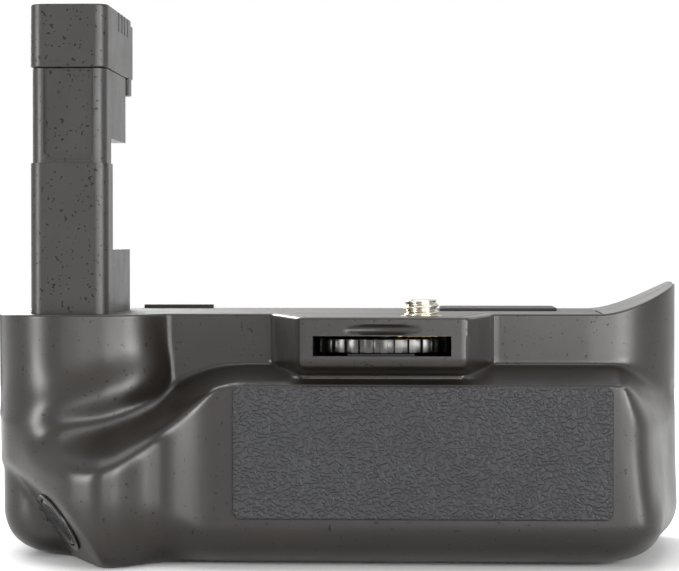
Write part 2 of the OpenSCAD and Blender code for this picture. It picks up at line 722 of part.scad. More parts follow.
// Back moulding with the door's seat, the bosses and the rib that the camera leans on
lip_w = 14;
lip_t = 2;
lip_h = 0.75;
slider_inset = 18;
slider_drop = 16;
slider_at = [left_x + slider_inset, body_h - slider_drop];
slider_size = [5, 4];
jack_back = 4.2;
jack_drop = 8;
jack_at = [split_y + jack_back, body_h - jack_drop];
jack_body_r = 2.9;
tongue_room = 0.6;
module rear_shell() {
    y0 = split_y + seam;
    knuckle = (door_top - door_z) / 3;
    color(plastic) difference() {
        union() {
            difference() {
                back_form(0, 0, y0);
                back_form(wall, deck_t, y0 - 1);
                slab(door_x - seam, hinge_at[0], door_y, knob_y, door_z - seam, door_top + seam);
                hinge_barrel(door_z - seam, door_top + seam, barrel_r + barrel_gap);
            }
            intersection() {
                back_form(0, 0, y0);
                union() {
                    difference() {
                        slab(door_x - 3, hinge_at[0] + 1, seat_y, door_y, 0, door_top + 3);
                        hinge_barrel(door_z - seam, door_top + seam, barrel_r + barrel_gap);
                    }
                    hinge_barrel(door_z + knuckle + barrel_gap, door_top - knuckle - barrel_gap, barrel_r);
                    slab(hinge_at[0], hinge_at[0] + barrel_r + 1, hinge_at[1] - 1, back_y,
                        door_z + knuckle + barrel_gap, door_top - knuckle - barrel_gap);
                    for (p = case_places)
                        along_y(y0, back_y - wall / 2) translate([p[0], p[1]]) circle(boss_r, $fn = smooth);
                    for (p = board_places)
                        along_y(board_y + board_t, back_y - wall / 2)
                            translate(p) circle(boss_r, $fn = smooth);
                }
            }
            hinge_barrel(door_z + knuckle + barrel_gap, door_top - knuckle - barrel_gap, barrel_r);
            slab(tower_right + 2, tower_right + 2 + lip_w, back_y - lip_t - 1, back_y - 1,
                body_h - 0.5, body_h + lip_h);
        }
        slab(bay_x - liner_t - seam, bay_x + bay_w + liner_t + seam, y0, knob_y,
            bay_z - floor_t - seam, bay_top + liner_t + seam);
        slab(latch_at[0] - tongue[1] / 2 - tongue_room, latch_at[0] + tongue[1] / 2 + tongue_room,
            seat_y - 1, knob_y, latch_at[1] - tongue[0] / 2 - tongue_room,
            latch_at[1] + tongue[0] / 2 + tongue_room);
        hinge_barrel(door_z - 1, door_top + 1, hinge_r);
        on_deck(plate_z, body_h + eps) plate_outline(0);
        on_deck(deck_z - 1, body_h + eps) plate_outline(ledge);
        slab(slider_at[0] - slider_size[0] / 2 - seam,
            slider_at[0] + slider_size[0] / 2 + slider_travel + seam, back_y - wall - 1, knob_y,
            slider_at[1] - slider_size[1] / 2 - seam, slider_at[1] + slider_size[1] / 2 + seam);
        translate([right_x - wall - 2, jack_at[0], jack_at[1]]) rotate([0, 90, 0])
            cylinder(r = jack_body_r + seam, h = wall + 4, $fn = smooth);
        for (p = case_places) translate([p[0], back_y + 1, p[1]]) rotate([90, 0, 0]) {
            cylinder(r = case_screw_r + screw_gap, h = back_depth + 3, $fn = smooth);
            cylinder(r = head_r + screw_gap, h = head_t + 1.2, $fn = smooth);
        }
        for (p = board_places) translate([p[0], board_y + board_t + 6, p[1]]) rotate([90, 0, 0])
            cylinder(r = case_screw_r, h = 8, $fn = smooth);
    }
}
module hinge_barrel(z0, z1, r) {
    translate([hinge_at[0], hinge_at[1], z0]) cylinder(r = r, h = z1 - z0, $fn = smooth);
}

// Plate that the camera stands on, with a hole for the tower
post_r = 3;
post_gap = 2;
post_y = panel_y + wall + 2 * post_r;
bracket_posts = [for (k = [-1, 1]) [wheel_at[0] + k * (wheel_r + post_gap), post_y]];
module top_plate() {
    color(plastic) difference() {
        on_deck(plate_z, body_h) plate_outline(seam);
        tower_hole(plate_z - 1, body_h + 1);
        for (p = bracket_posts) translate([p[0], p[1], plate_z - 1])
            cylinder(r = case_screw_r, h = plate_t + 0.5, $fn = smooth);
        for (p = tower_screw_places) translate([p[0], p[1], plate_z - 1])
            cylinder(r = case_screw_r, h = plate_t + 0.5, $fn = smooth);
    }
}
module tower_hole(z0, z1) {
    on_deck(z0, z1) tower_plan(tower_step + seam, tower_d + seam);
}
mat_back = 1.5;
module top_mat() {
    color(rubber) on_deck(body_h, body_h + mat_t)
        translate([right_x - mat_inset - mat_size[0], back_y - wall - mat_back - mat_size[1]])
            round_rect(mat_size[0], mat_size[1], pad_r);
}
// Cover over the wheel drive, which carries the screw's bush and the axle's upper end
module gear_cover() {
    color(plastic) difference() {
        on_deck(cover_z, body_h) cover_outline(seam);
        at_screw() translate([0, 0, cover_z - 1]) cylinder(r = bush_r, h = cover_t + 2, $fn = smooth);
        at_wheel() translate([0, 0, cover_z - 1]) cylinder(r = axle_r, h = 1 + cover_t / 2, $fn = smooth);
    }
}
module grip_pad() {
    color(rubber) translate([0, roll_y + pad_pocket, 0]) rotate([90, 0, 0]) linear_extrude(pad_t)
        translate([right_x - pad_inset - pad_w, pad_z]) round_rect(pad_w, pad_h, pad_r);
}

// Plan of the tower, g larger all round, with its two front edges rounded
module tower_plan(g, depth) {
    w = tower_w + 2 * g;
    translate([tower_x - g, tower_y - g]) {
        translate([0, tower_r]) square([w, depth + g - tower_r]);
        translate([tower_r, 0]) square([w - 2 * tower_r, tower_r]);
        for (x = [tower_r, w - tower_r]) translate([x, tower_r]) circle(tower_r, $fn = smooth);
    }
}
module channel_plan(depth) {
    translate([tower_x + tower_wall, tower_y + tower_wall])
        square([tower_w - 2 * tower_wall, depth - 2 * tower_wall]);
}
tower_screw_places = [for (k = [0.3, 0.75]) [tower_right + flange_reach - 1.7, tower_y + k * tower_d]];
module tower_sleeve() {
    foot_z = plate_z - flange_t;
    color(plastic) difference() {
        union() {
            on_deck(foot_z, sleeve_z) tower_plan(tower_step, channel_d);
            on_deck(foot_z, body_h + block_h) tower_plan(tower_step, block_d);
            slab(tower_x - tower_step, tower_x + tower_wall, tower_y + tower_r, tower_end, foot_z, sleeve_z);
            slab(tower_x, tower_right + flange_reach, tower_y + tower_r, tower_end, foot_z, plate_z);
            slab(tower_x, tower_right + tower_step, tower_y + block_d - tower_wall, tower_end,
                foot_z, body_h);
        }
        on_deck(foot_z - 1, sleeve_z + 1) channel_plan(channel_d);
        slab(tower_x + 2 * tower_wall, tower_right - tower_wall, tower_y + channel_d,
            tower_y + block_d - tower_wall, foot_z - 1, body_h + block_h - tower_wall);
        for (p = tower_screw_places) translate([p[0], p[1], foot_z - 1])
            cylinder(r = case_screw_r + screw_gap, h = flange_t + 2, $fn = smooth);
    }
}
// Upper half of the tower: its tongue sits in the sleeve's channel
tongue_drop = 6;
panel_depth = 0.5;
module tower_insert() {
    z1 = cap_z - seam;
    color(plastic) difference() {
        union() {
            on_deck(sleeve_z, z1) tower_plan(0, channel_d);
            on_deck(body_h + window_top, z1) tower_plan(0, upper_d);
            slab(tower_x, tower_x + tower_wall, tower_y + tower_r, tower_end, sleeve_z, z1);
            slab(tower_x + tower_wall + seam, tower_right - tower_wall - seam, tower_y + tower_wall + seam,
                tower_y + channel_d - tower_wall - seam, sleeve_z - tongue_drop, sleeve_z + 1);
        }
        slab(tower_x + 2 * tower_wall, tower_right - 2 * tower_wall, tower_y + 2 * tower_wall,
            tower_y + channel_d - 2 * tower_wall, sleeve_z - tongue_drop - 1, z1 + 1);
        slab(tower_x + 2 * tower_wall, tower_right - tower_wall, tower_y + channel_d,
            tower_y + upper_d - tower_wall, body_h + window_top + tower_wall, z1 + 1);
        translate([0, tower_y + panel_depth, 0]) rotate([90, 0, 0]) linear_extrude(2)
            translate([tower_x + tower_r, sleeve_z + 2 * tower_step])
                round_rect(tower_w - 2 * tower_r, tower_h, tower_r / 2);
    }
}
// Cap with the contact slots that the camera's own contacts enter
contact_count = 4;
contact_pitch = 4.2;
contact_slot = [2.6, 1.4, 3.6];
heel = [3, 4, 3.4];
heel_back = 2;
contact_back = 9;
contact_edge = 0.6;
tip_cut = [1, 3, 1];
function contact_y(i) = tower_end - contact_back - i * contact_pitch;
module tower_cap() {
    color(plastic) difference() {
        union() {
            on_deck(cap_z, tower_top) tower_plan(tower_step, tower_d);
            slab(tower_right + tower_step - heel[0], tower_right + tower_step,
                tower_end - heel[1] - heel_back, tower_end - heel_back, cap_z - heel[2], cap_z + 1);
        }
        slab(tower_x + tower_wall, tower_right - contact_slot[0] - contact_edge, tower_y + tower_wall + 1,
            tower_end - tower_wall, cap_z - 1, tower_top - tower_wall);
        for (i = [0 : contact_count - 1])
            slab(tower_right + tower_step - contact_slot[0], tower_right + tower_step + 1, contact_y(i),
                contact_y(i) + contact_slot[1], tower_top - contact_slot[2], tower_top + 1);
        slab(tower_right - tip_cut[0], tower_right + 1, tower_end - tip_cut[1], tower_end + 1,
            tower_top - tip_cut[2], tower_top + 1);
    }
}
board_gap = 0.2;
module tower_board() {
    color(board_green) slab(tower_x + tower_wall + board_gap,
        tower_right - contact_slot[0] - contact_edge - board_gap, tower_y + tower_wall + 1 + board_gap,
        tower_end - tower_wall - board_gap, cap_z + board_gap, cap_z + board_gap + board_t);
}
contact_t = 0.6;
module tower_contacts() {
    x0 = tower_right + tower_step - contact_slot[0];
    color(brass) for (i = [0 : contact_count - 1])
        slab(x0, x0 + contact_t, contact_y(i) + tower_step, contact_y(i) + contact_slot[1] - tower_step,
            tower_top - contact_slot[2], tower_top - contact_edge);
}
// Flat ribbon down the tower's channel to the circuit board below
ribbon_w = 6;
ribbon_t = 0.3;
ribbon_drop = 6;
module tower_ribbon() {
    y = tower_y + 2 * tower_wall + ribbon_t;
    x = tower_x + tower_w / 2;
    color("#b5701f") slab(x - ribbon_w / 2, x + ribbon_w / 2, y, y + ribbon_t, plate_z - ribbon_drop, cap_z);
}
module tower_screws() {
    color(steel) for (p = tower_screw_places) translate([p[0], p[1], plate_z - flange_t]) {
        translate([0, 0, -head_t]) cylinder(r = head_r * 0.8, h = head_t, $fn = smooth);
        translate([0, 0, -eps])
            cylinder(r = case_screw_r - screw_gap / 2, h = flange_t + plate_t / 2, $fn = smooth);
    }
}

// Involute outline of a drive gear, its first tooth or gap pointing along +X
function involute(r, r_base) = let (c = acos(min(1, r_base / r))) tan(c) * 180 / PI - c;
function half_tooth(r) =
    let (r_pitch = drive_a / 2, r_base = r_pitch * cos(20))
    90 / gear_teeth + involute(r_pitch, r_base) - involute(max(r, r_base), r_base)
    - backlash / (2 * r) * 180 / PI;
function polar(r, a) = [r * cos(a), r * sin(a)];
module drive_gear_outline(phase) {
    r_pitch = drive_a / 2;
    radii = [
        r_pitch - 1.25 * gear_module, r_pitch * cos(20), r_pitch,
        r_pitch + 0.45 * gear_module, r_pitch + 0.85 * gear_module
    ];
    rotate(phase) polygon([
        for (i = [0 : gear_teeth - 1])
        each concat(
            [for (r = radii) polar(r, i * 360 / gear_teeth - half_tooth(r))],
            [for (k = [len(radii) - 1 : -1 : 0]) polar(radii[k], i * 360 / gear_teeth + half_tooth(radii[k]))]
        )
    ]);
}
drive_angle = atan2(screw_offset[1], screw_offset[0]);
module at_wheel() {
    translate([wheel_at[0], wheel_at[1], 0]) children();
}
module at_screw() {
    translate([screw_at[0], screw_at[1], 0]) children();
}
// Finger wheel with its square teeth, its hub and its drive gear in one moulding
module lock_wheel() {
    step = 360 / finger_teeth;
    color(black) at_wheel() difference() {
        union() {
            on_deck(wheel_z, wheel_z + wheel_t) polygon([
                for (i = [0 : finger_teeth - 1])
                each [
                    polar(wheel_r - tooth_depth, step * i),
                    polar(wheel_r - tooth_depth, step * (i + 0.42)),
                    polar(wheel_r, step * (i + 0.46)),
                    polar(wheel_r, step * (i + 0.96))
                ]
            ]);
            on_deck(wheel_z + wheel_t - eps, gear_z + eps)
                circle(drive_a / 2 - 1.3 * gear_module, $fn = smooth);
            on_deck(gear_z, gear_z + gear_t) drive_gear_outline(drive_angle);
        }
        translate([0, 0, wheel_z - 1])
            cylinder(r = axle_r + turn_gap, h = gear_z + gear_t - wheel_z + 2, $fn = smooth);
    }
}
axle_boss = [3.2, 1.2];
module wheel_axle() {
    z0 = bracket_z - axle_boss[1];
    color(steel) at_wheel() translate([0, 0, z0])
        cylinder(r = axle_r, h = cover_z + cover_t / 2 - turn_gap - z0, $fn = smooth);
}
// Bracket under the wheel: a round seat, a front tab in the housing and two posts to the plate
bracket_r = 7;
tab_w = 12;
tab_gap = 0.5;
module gear_bracket() {
    z1 = bracket_z + bracket_t;
    tab_left = wheel_at[0] - tab_w / 2;
    tab_right = wheel_at[0] + tab_w / 2;
    color(steel) difference() {
        union() {
            at_wheel() translate([0, 0, bracket_z]) cylinder(r = bracket_r, h = bracket_t, $fn = smooth);
            at_wheel() translate([0, 0, bracket_z - axle_boss[1]])
                cylinder(r = axle_boss[0], h = axle_boss[1] + bracket_t / 2, $fn = smooth);
            slab(tab_left, tab_right, housing_y + wall + tab_gap, wheel_at[1], bracket_z, z1);
            slab(tab_left, tab_right, wheel_at[1], post_y, bracket_z, z1);
            slab(bracket_posts[0][0], bracket_posts[1][0], post_y - post_r, post_y + post_r, bracket_z, z1);
            for (p = bracket_posts) translate([p[0], p[1], bracket_z])
                cylinder(r = post_r, h = plate_z - bracket_z, $fn = smooth);
        }
        at_wheel() translate([0, 0, bracket_z - 2 * axle_boss[1]])
            cylinder(r = axle_r, h = 2 * axle_boss[1] + bracket_t + 1, $fn = smooth);
        for (p = bracket_posts) translate([p[0], p[1], bracket_z - 1])
            cylinder(r = case_screw_r + screw_gap, h = plate_z - bracket_z + 2, $fn = smooth);
    }
}
module bracket_screws() {
    shaft_l = plate_z - bracket_z + plate_t / 4;
    color(steel) for (p = bracket_posts) translate([p[0], p[1], bracket_z]) {
        translate([0, 0, -head_t]) cylinder(r = head_r, h = head_t, $fn = smooth);
        translate([0, 0, -eps]) cylinder(r = case_screw_r - screw_gap / 2, h = shaft_l, $fn = smooth);
    }
}
// Tripod thread that holds the camera: chamfered thread above the seat, neck through the bush
bush_r = neck_r + 1.4;
tail_r = 1.8;
screw_chamfer = 0.5;
module camera_screw() {
    z0 = body_h + turn_gap;
    color(nickel) at_screw() union() {
        translate([0, 0, z0]) cylinder(r = screw_r, h = screw_h - screw_chamfer, $fn = smooth);
        translate([0, 0, z0 + screw_h - screw_chamfer])
            cylinder(r1 = screw_r, r2 = screw_r - screw_chamfer, h = screw_chamfer, $fn = smooth);
        translate([0, 0, gear_z + gear_t + 0.1]) cylinder(r = neck_r, h = z0 - gear_z - gear_t, $fn = smooth);
        translate([0, 0, gear_z]) cylinder(r = tail_r, h = gear_t + 0.2, $fn = smooth);
    }
}
module screw_gear() {
    color(brass) at_screw() difference() {
        on_deck(gear_z, gear_z + gear_t) drive_gear_outline(drive_angle + 180 + 180 / gear_teeth);
        translate([0, 0, gear_z - 1]) cylinder(r = tail_r, h = gear_t + 2, $fn = smooth);
    }
}
module screw_bush() {
    color(brass) at_screw() translate([0, 0, cover_z]) ring(bush_r, neck_r + turn_gap, cover_t);
}

// Release button: cap, bezel cup, spring, switch and its small board, along the button's own axis
cup_depth = 5.4;
cup_floor = 0.8;
cap_skirt = 1.5;
button_dome = 0.6;
button_edge = 0.4;
button_dish_r = 29.8;
stem_r = 2;
stem_end = -4.3;
stem_gap = 0.15;
guide_gap = 0.12;
switch_w = 6;
switch_h = 3.4;
switch_tip = [1.2, 0.4];
switch_top = stem_end - button_travel - stem_gap;
switch_base = switch_top - switch_tip[1] - switch_h;
bezel_lip = 0.6;
lip_seat = 0.05;
bezel_rim = 0.4;
bezel_leg = [1.6, 3];
module shutter_button() {
    color(black) at_button() difference() {
        union() {
            translate([0, 0, -cap_skirt])
                cylinder(r = button_r, h = cap_skirt + button_dome - button_edge, $fn = smooth);
            translate([0, 0, button_dome - button_edge - eps])
                cylinder(r1 = button_r, r2 = button_r - button_edge, h = button_edge, $fn = smooth);
            translate([0, 0, stem_end]) cylinder(r = stem_r, h = -stem_end, $fn = smooth);
        }
        translate([0, 0, button_dome - button_edge + button_dish_r]) sphere(r = button_dish_r, $fn = smooth);
    }
}
module button_bezel() {
    leg_x = bezel_r - bezel_lip - 1.5 * bezel_leg[0] / 2;
    color(black) at_button() difference() {
        union() {
            translate([0, 0, -cup_depth])
                cylinder(r = bezel_r - bezel_lip, h = cup_depth + 2 * lip_seat, $fn = smooth);
            translate([0, 0, lip_seat]) cylinder(r = bezel_r, h = bezel_rim, $fn = smooth);
            for (k = [-1, 1]) translate([k * leg_x - bezel_leg[0] / 2, -bezel_leg[1] / 2, switch_base])
                cube([bezel_leg[0], bezel_leg[1], -switch_base - cup_depth + cup_floor / 2]);
        }
        translate([0, 0, cup_floor - cup_depth])
            cylinder(r = button_r + guide_gap, h = cup_depth + 2, $fn = smooth);
        translate([0, 0, -cup_depth - 1]) cylinder(r = stem_r + guide_gap, h = cup_floor + 2, $fn = smooth);
    }
}
// Coil between the cup's floor and the cap, one unbroken tube with flat closing rings left out
spring_r = 3.6;
spring_wire = 0.28;
spring_turns = 3;
spring_z = cup_floor - cup_depth + spring_wire + 0.05;
spring_h = cup_depth - cup_floor - cap_skirt - 2 * spring_wire - 0.1;
function spring_point(i, n) =
    let (a = 360 * spring_turns * i / n) [spring_r * cos(a), spring_r * sin(a), spring_z + spring_h * i / n];
function spring_ring(i, n) =
    let (a = 360 * spring_turns * i / n, c = spring_point(i, n))
    [for (k = [0 : 5]) c + spring_wire * (cos(60 * k) * [cos(a), sin(a), 0] + sin(60 * k) * [0, 0, 1])];
module button_spring() {
    n = spring_turns * 16;
    points = [for (i = [0 : n]) each spring_ring(i, n)];
    faces = concat(
        [for (i = [0 : n - 1], k = [0 : 5]) [i * 6 + k, i * 6 + (k + 1) % 6, (i + 1) * 6 + (k + 1) % 6]],
        [for (i = [0 : n - 1], k = [0 : 5]) [i * 6 + k, (i + 1) * 6 + (k + 1) % 6, (i + 1) * 6 + k]],
        [[for (k = [5 : -1 : 0]) k]],
        [[for (k = [0 : 5]) n * 6 + k]]
    );
    color(steel) at_button() polyhedron(points, faces);
}
module shutter_switch() {
    color(black) at_button() {
        translate([-switch_w / 2, -switch_w / 2, switch_base]) cube([switch_w, switch_w, switch_h]);
        translate([0, 0, switch_base + switch_h - eps])
            cylinder(r = switch_tip[0], h = switch_tip[1] + eps, $fn = smooth);
    }
}
switch_board_t = 1;
module switch_board() {
    w = 2 * bezel_r;
    d = 1.5 * switch_w;
    color(board_green) at_button() translate([-w / 2, -d / 2, switch_base - switch_board_t])
        cube([w, d, switch_board_t]);
}

// Lock slider on the back and the switch behind it
slider_flange = [11, 7, 1.4];
slider_gap = 0.15;
slider_rise = 0.4;
flange_y = back_y - wall - slider_gap;
module lock_slider() {
    x = slider_at[0];
    z = slider_at[1];
    color(black) {
        slab(x - slider_size[0] / 2, x + slider_size[0] / 2, flange_y - slider_gap, knob_y - slider_rise,
            z - slider_size[1] / 2, z + slider_size[1] / 2);
        slab(x - slider_flange[0] / 2, x + slider_flange[0] / 2, flange_y - slider_flange[2], flange_y,
            z - slider_flange[1] / 2, z + slider_flange[1] / 2);
    }
}
board_gap_y = 8;
board_y = back_y - wall - board_gap_y;
board_low = 12.2;
board_drop = 10;
board_inset = 14;
board_beside = 3;
board_hole_drop = [26, 20];
board_margin = 4;
board_places = [
    [left_x + board_inset, body_h - board_hole_drop[0]],
    [housing_left - flank_left - board_beside, body_h - board_hole_drop[1]]
];
slide_box = [4, 6, 2.2];
module slide_switch() {
    color(steel) slab(slider_at[0] - slide_box[0], slider_at[0] + slide_box[1], board_y + board_t,
        flange_y - slider_flange[2] - board_gap, slider_at[1] - slide_box[2], slider_at[1] + slide_box[2]);
}
module main_board() {
    color(board_green) difference() {
        slab(board_places[0][0] - board_margin, board_places[1][0] + board_margin, board_y, board_y + board_t,
            board_low, body_h - board_drop);
        for (p = board_places) translate([p[0], board_y + board_t + 1, p[1]]) rotate([90, 0, 0])
            cylinder(r = case_screw_r + screw_gap, h = board_t + 2, $fn = smooth);
    }
}
board_screw_l = 4;
module board_screws() {
    color(steel) for (p = board_places) translate([p[0], board_y, p[1]]) rotate([-90, 0, 0]) {
        translate([0, 0, -head_t]) cylinder(r = head_r, h = head_t, $fn = smooth);
        translate([0, 0, -eps])
            cylinder(r = case_screw_r - screw_gap / 2, h = board_t + board_screw_l, $fn = smooth);
    }
}

// Battery door with two hinge barrels, a dish for the knob and the bore for its shaft
dish_t = 1.1;
shaft_r = 2;
module battery_door() {
    knuckle = (door_top - door_z) / 3;
    color(plastic) difference() {
        union() {
            difference() {
                intersection() {
                    slab(door_x, hinge_at[0], door_y + seam, back_y, door_z, door_top);
                    back_form(0, 0, split_y);
                }
                hinge_barrel(door_z + knuckle, door_top - knuckle, barrel_r + barrel_gap);
            }
            hinge_barrel(door_z, door_z + knuckle, barrel_r);
            hinge_barrel(door_top - knuckle, door_top, barrel_r);
        }
        hinge_barrel(door_z - 1, door_top + 1, hinge_r + turn_gap);
        at_latch(back_y - dish_t) cylinder(r = knob_r + 0.5, h = 5, $fn = smooth);
        at_latch(door_y - 1) cylinder(r = shaft_r + turn_gap, h = 5, $fn = smooth);
    }
}
module at_latch(y) {
    translate([latch_at[0], y, latch_at[1]]) rotate([-90, 0, 0]) children();
}
module hinge_pin() {
    color(steel) hinge_barrel(door_z - 0.3, door_top + 0.3, hinge_r);
}
// Turning latch: knob outside, tongue behind the seat, one screw
knob_bar = 2.6;
module latch_knob() {
    base = back_y - dish_t + 0.1;
    end = seat_y - 0.3;
    color(black) union() {
        at_latch(base) cylinder(r = knob_r, h = back_y - base, $fn = smooth);
        intersection() {
            at_latch(base) cylinder(r = knob_r - 0.2, h = 8, $fn = smooth);
            slab(latch_at[0] - knob_bar / 2, latch_at[0] + knob_bar / 2, base, knob_y,
                latch_at[1] - knob_r, latch_at[1] + knob_r);
        }
        difference() {
            at_latch(end) cylinder(r = shaft_r, h = base - end + 0.1, $fn = smooth);
            at_latch(end - 1) cylinder(r = case_screw_r, h = latch_thread + 1.3, $fn = smooth);
        }
    }
}
tongue_t = 1.8;
latch_thread = 2;
module latch_tongue() {
    end = seat_y - 0.3;
    color(steel) difference() {
        slab(latch_at[0] - tongue[1] / 2, latch_at[0] + tongue[1] / 2, end - tongue_t, end,
            latch_at[1] - tongue[0] / 2, latch_at[1] + tongue[0] / 2);
        at_latch(end - tongue_t - 1) cylinder(r = case_screw_r, h = tongue_t + 2, $fn = smooth);
    }
}
module latch_screw() {
    end = seat_y - 0.3 - tongue_t;
    color(steel) {
        at_latch(end - head_t * 0.8) cylinder(r = head_r * 0.8, h = head_t * 0.8, $fn = smooth);
        at_latch(end - eps)
            cylinder(r = case_screw_r - screw_gap / 2, h = tongue_t + latch_thread, $fn = smooth);
    }
}

// Liner of the battery bay, cut away at the front where the outer moulding is round
liner_cut = [7.45, 4.9];
roof_cut = 3;
window_side = 4;
window_low = 6;
window_high = 4;
module battery_bay() {
    low = bay_z - floor_t;
    high = bay_top + liner_t;
    near = bay_front - nose_t;
    roof_y = panel_y + wall;
    color(black) difference() {
        along_x(bay_x - liner_t, bay_x + bay_w + liner_t) polygon([
            [bay_back, low], [bay_back, high], [roof_y, high], [near + roof_cut, bay_top],
            [near, bay_top - roof_cut], [near, bay_z + liner_cut[1]], [near + liner_cut[0], low]
        ]);
        slab(bay_x, bay_x + bay_w, bay_front, bay_back + 1, bay_z, bay_top);
        slab(bay_x + window_side, bay_x + bay_w - window_side, near - 1, bay_front + 1,
            bay_z + window_low, bay_top - window_high);
    }
}
module contact_block() {
    color(black) slab(bay_x + window_side + seam, bay_x + bay_w - window_side - seam,
        bay_front - nose_t, bay_front, bay_z + window_low + seam, bay_top - window_high - seam);
}
// Three spring blades for each cell, standing on the contact block
blade_pitch = 7;
blade = [1.6, 1.2, 3];
blade_z = 6.8;
module battery_contacts() {
    mid = bay_x + bay_w / 2;
    color(brass) for (i = [-1 : 1], k = [0, 1])
        slab(mid + i * blade_pitch - blade[0] / 2, mid + i * blade_pitch + blade[0] / 2,
            bay_front, bay_front + blade[1],
            bay_z + blade_z + k * cell_t, bay_z + blade_z + k * cell_t + blade[2]);
}

jack_box = [9, 3.6];
jack_sink = 0.3;
module along_jack(x, r, h) {
    translate([x, jack_at[0], jack_at[1]]) rotate([0, 90, 0]) cylinder(r = r, h = h, $fn = smooth);
}
module release_jack() {
    x1 = right_x - jack_sink;
    color(black) difference() {
        union() {
            along_jack(x1 - jack_l - 1, jack_body_r, jack_l + 1);
            slab(right_x - wall - jack_box[0], right_x - wall - seam,
                jack_at[0] - jack_box[1], jack_at[0] + jack_box[1],
                jack_at[1] - jack_box[1], jack_at[1] + jack_box[1]);
        }
        along_jack(x1 - jack_l, jack_r, jack_l + 1);
    }
}
module tripod_socket() {
    color(brass) translate([socket_x, 0, 0]) difference() {
        union() {
            cylinder(r = socket_r + socket_wall, h = socket_l, $fn = smooth);
            translate([0, 0, wall + lip_seat])
                cylinder(r = socket_r + socket_flange[0], h = socket_flange[1], $fn = smooth);
        }
        translate([0, 0, -1]) cylinder(r = socket_r, h = socket_l + 2, $fn = smooth);
    }
}
head_sink = 0.2;
module case_screws() {
    color(steel) for (p = case_places) translate([p[0], back_y - head_sink, p[1]]) rotate([90, 0, 0]) {
        cylinder(r = head_r, h = head_t - head_sink, $fn = smooth);
        cylinder(r = case_screw_r - screw_gap / 2, h = back_depth + screw_depth - head_t, $fn = smooth);
    }
}

front_shell();
rear_shell();
top_plate();
top_mat();
gear_cover();
grip_pad();
tower_sleeve();
tower_insert();
tower_cap();
tower_board();
tower_contacts();
tower_ribbon();
tower_screws();
lock_wheel();
wheel_axle();
gear_bracket();
bracket_screws();
camera_screw();
screw_gear();
screw_bush();
shutter_button();
button_bezel();
button_spring();
shutter_switch();
switch_board();
lock_slider();
slide_switch();
battery_door();
hinge_pin();
latch_knob();
latch_tongue();
latch_screw();
battery_bay();
contact_block();
battery_contacts();
main_board();
board_screws();
release_jack();
tripod_socket();
case_screws();
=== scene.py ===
"""Looks of a camera battery grip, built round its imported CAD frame."""

import json
import logging
import math
from dataclasses import dataclass, field
from enum import Enum
from typing import Sequence

import bmesh
import bpy
import numpy as np
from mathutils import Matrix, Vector


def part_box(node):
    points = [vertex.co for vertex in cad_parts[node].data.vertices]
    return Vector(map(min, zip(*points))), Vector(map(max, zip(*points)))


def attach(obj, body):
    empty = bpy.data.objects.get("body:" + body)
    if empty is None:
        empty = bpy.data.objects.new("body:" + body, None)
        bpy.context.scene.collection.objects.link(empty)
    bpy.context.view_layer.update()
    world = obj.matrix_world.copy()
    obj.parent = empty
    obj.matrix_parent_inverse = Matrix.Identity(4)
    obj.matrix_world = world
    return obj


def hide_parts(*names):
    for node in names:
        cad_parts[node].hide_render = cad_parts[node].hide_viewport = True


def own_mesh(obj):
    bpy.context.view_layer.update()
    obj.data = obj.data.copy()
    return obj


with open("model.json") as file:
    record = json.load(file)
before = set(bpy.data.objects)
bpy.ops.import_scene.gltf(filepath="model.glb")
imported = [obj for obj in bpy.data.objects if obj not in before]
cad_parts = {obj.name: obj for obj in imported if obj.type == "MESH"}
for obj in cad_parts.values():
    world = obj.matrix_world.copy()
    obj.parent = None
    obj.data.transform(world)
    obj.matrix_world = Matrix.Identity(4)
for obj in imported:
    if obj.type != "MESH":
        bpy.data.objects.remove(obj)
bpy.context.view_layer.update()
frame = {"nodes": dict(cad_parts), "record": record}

log = logging.getLogger("battery_grip")
Socket = bpy.types.NodeSocket
Piece = bpy.types.Object
Field = np.ndarray
Span = tuple[float, float]
Triple = tuple[float, float, float]
MM = 0.001
ROOT = "grip"
MERGE = 0.002
LEVEL_ANGLE = 0.6
LOOK_CREASE = 38.0
SPECK_SCALE = 1350.0
SPECK_SPECULAR = 0.2
CLOUD_SCALE = 38.0
SMEAR_SCALE = 140.0
LEATHER_STRETCH = (0.85, 1.0, 1.0)
TURNED_STRETCH = (0.12, 0.12, 1.0)


class Grain(Enum):
    """Kinds of surface relief that a finish can carry."""

    SPRAY = "fine matte spray on a moulding"
    MOULD = "spark-eroded mould texture with dark specks"
    LEATHER = "pebbled leather grain"
    RUBBER = "fine rubber"
    POLISH = "smooth polish with faint scratches"
    TURNED = "turned or brushed metal"
    BOARD = "solder mask"


# Noise level where a speck starts, level where it is full, and share of the dark colour in it.
SPECKS = {Grain.MOULD: (0.655, 0.7, 0.9), Grain.SPRAY: (0.69, 0.735, 0.75)}


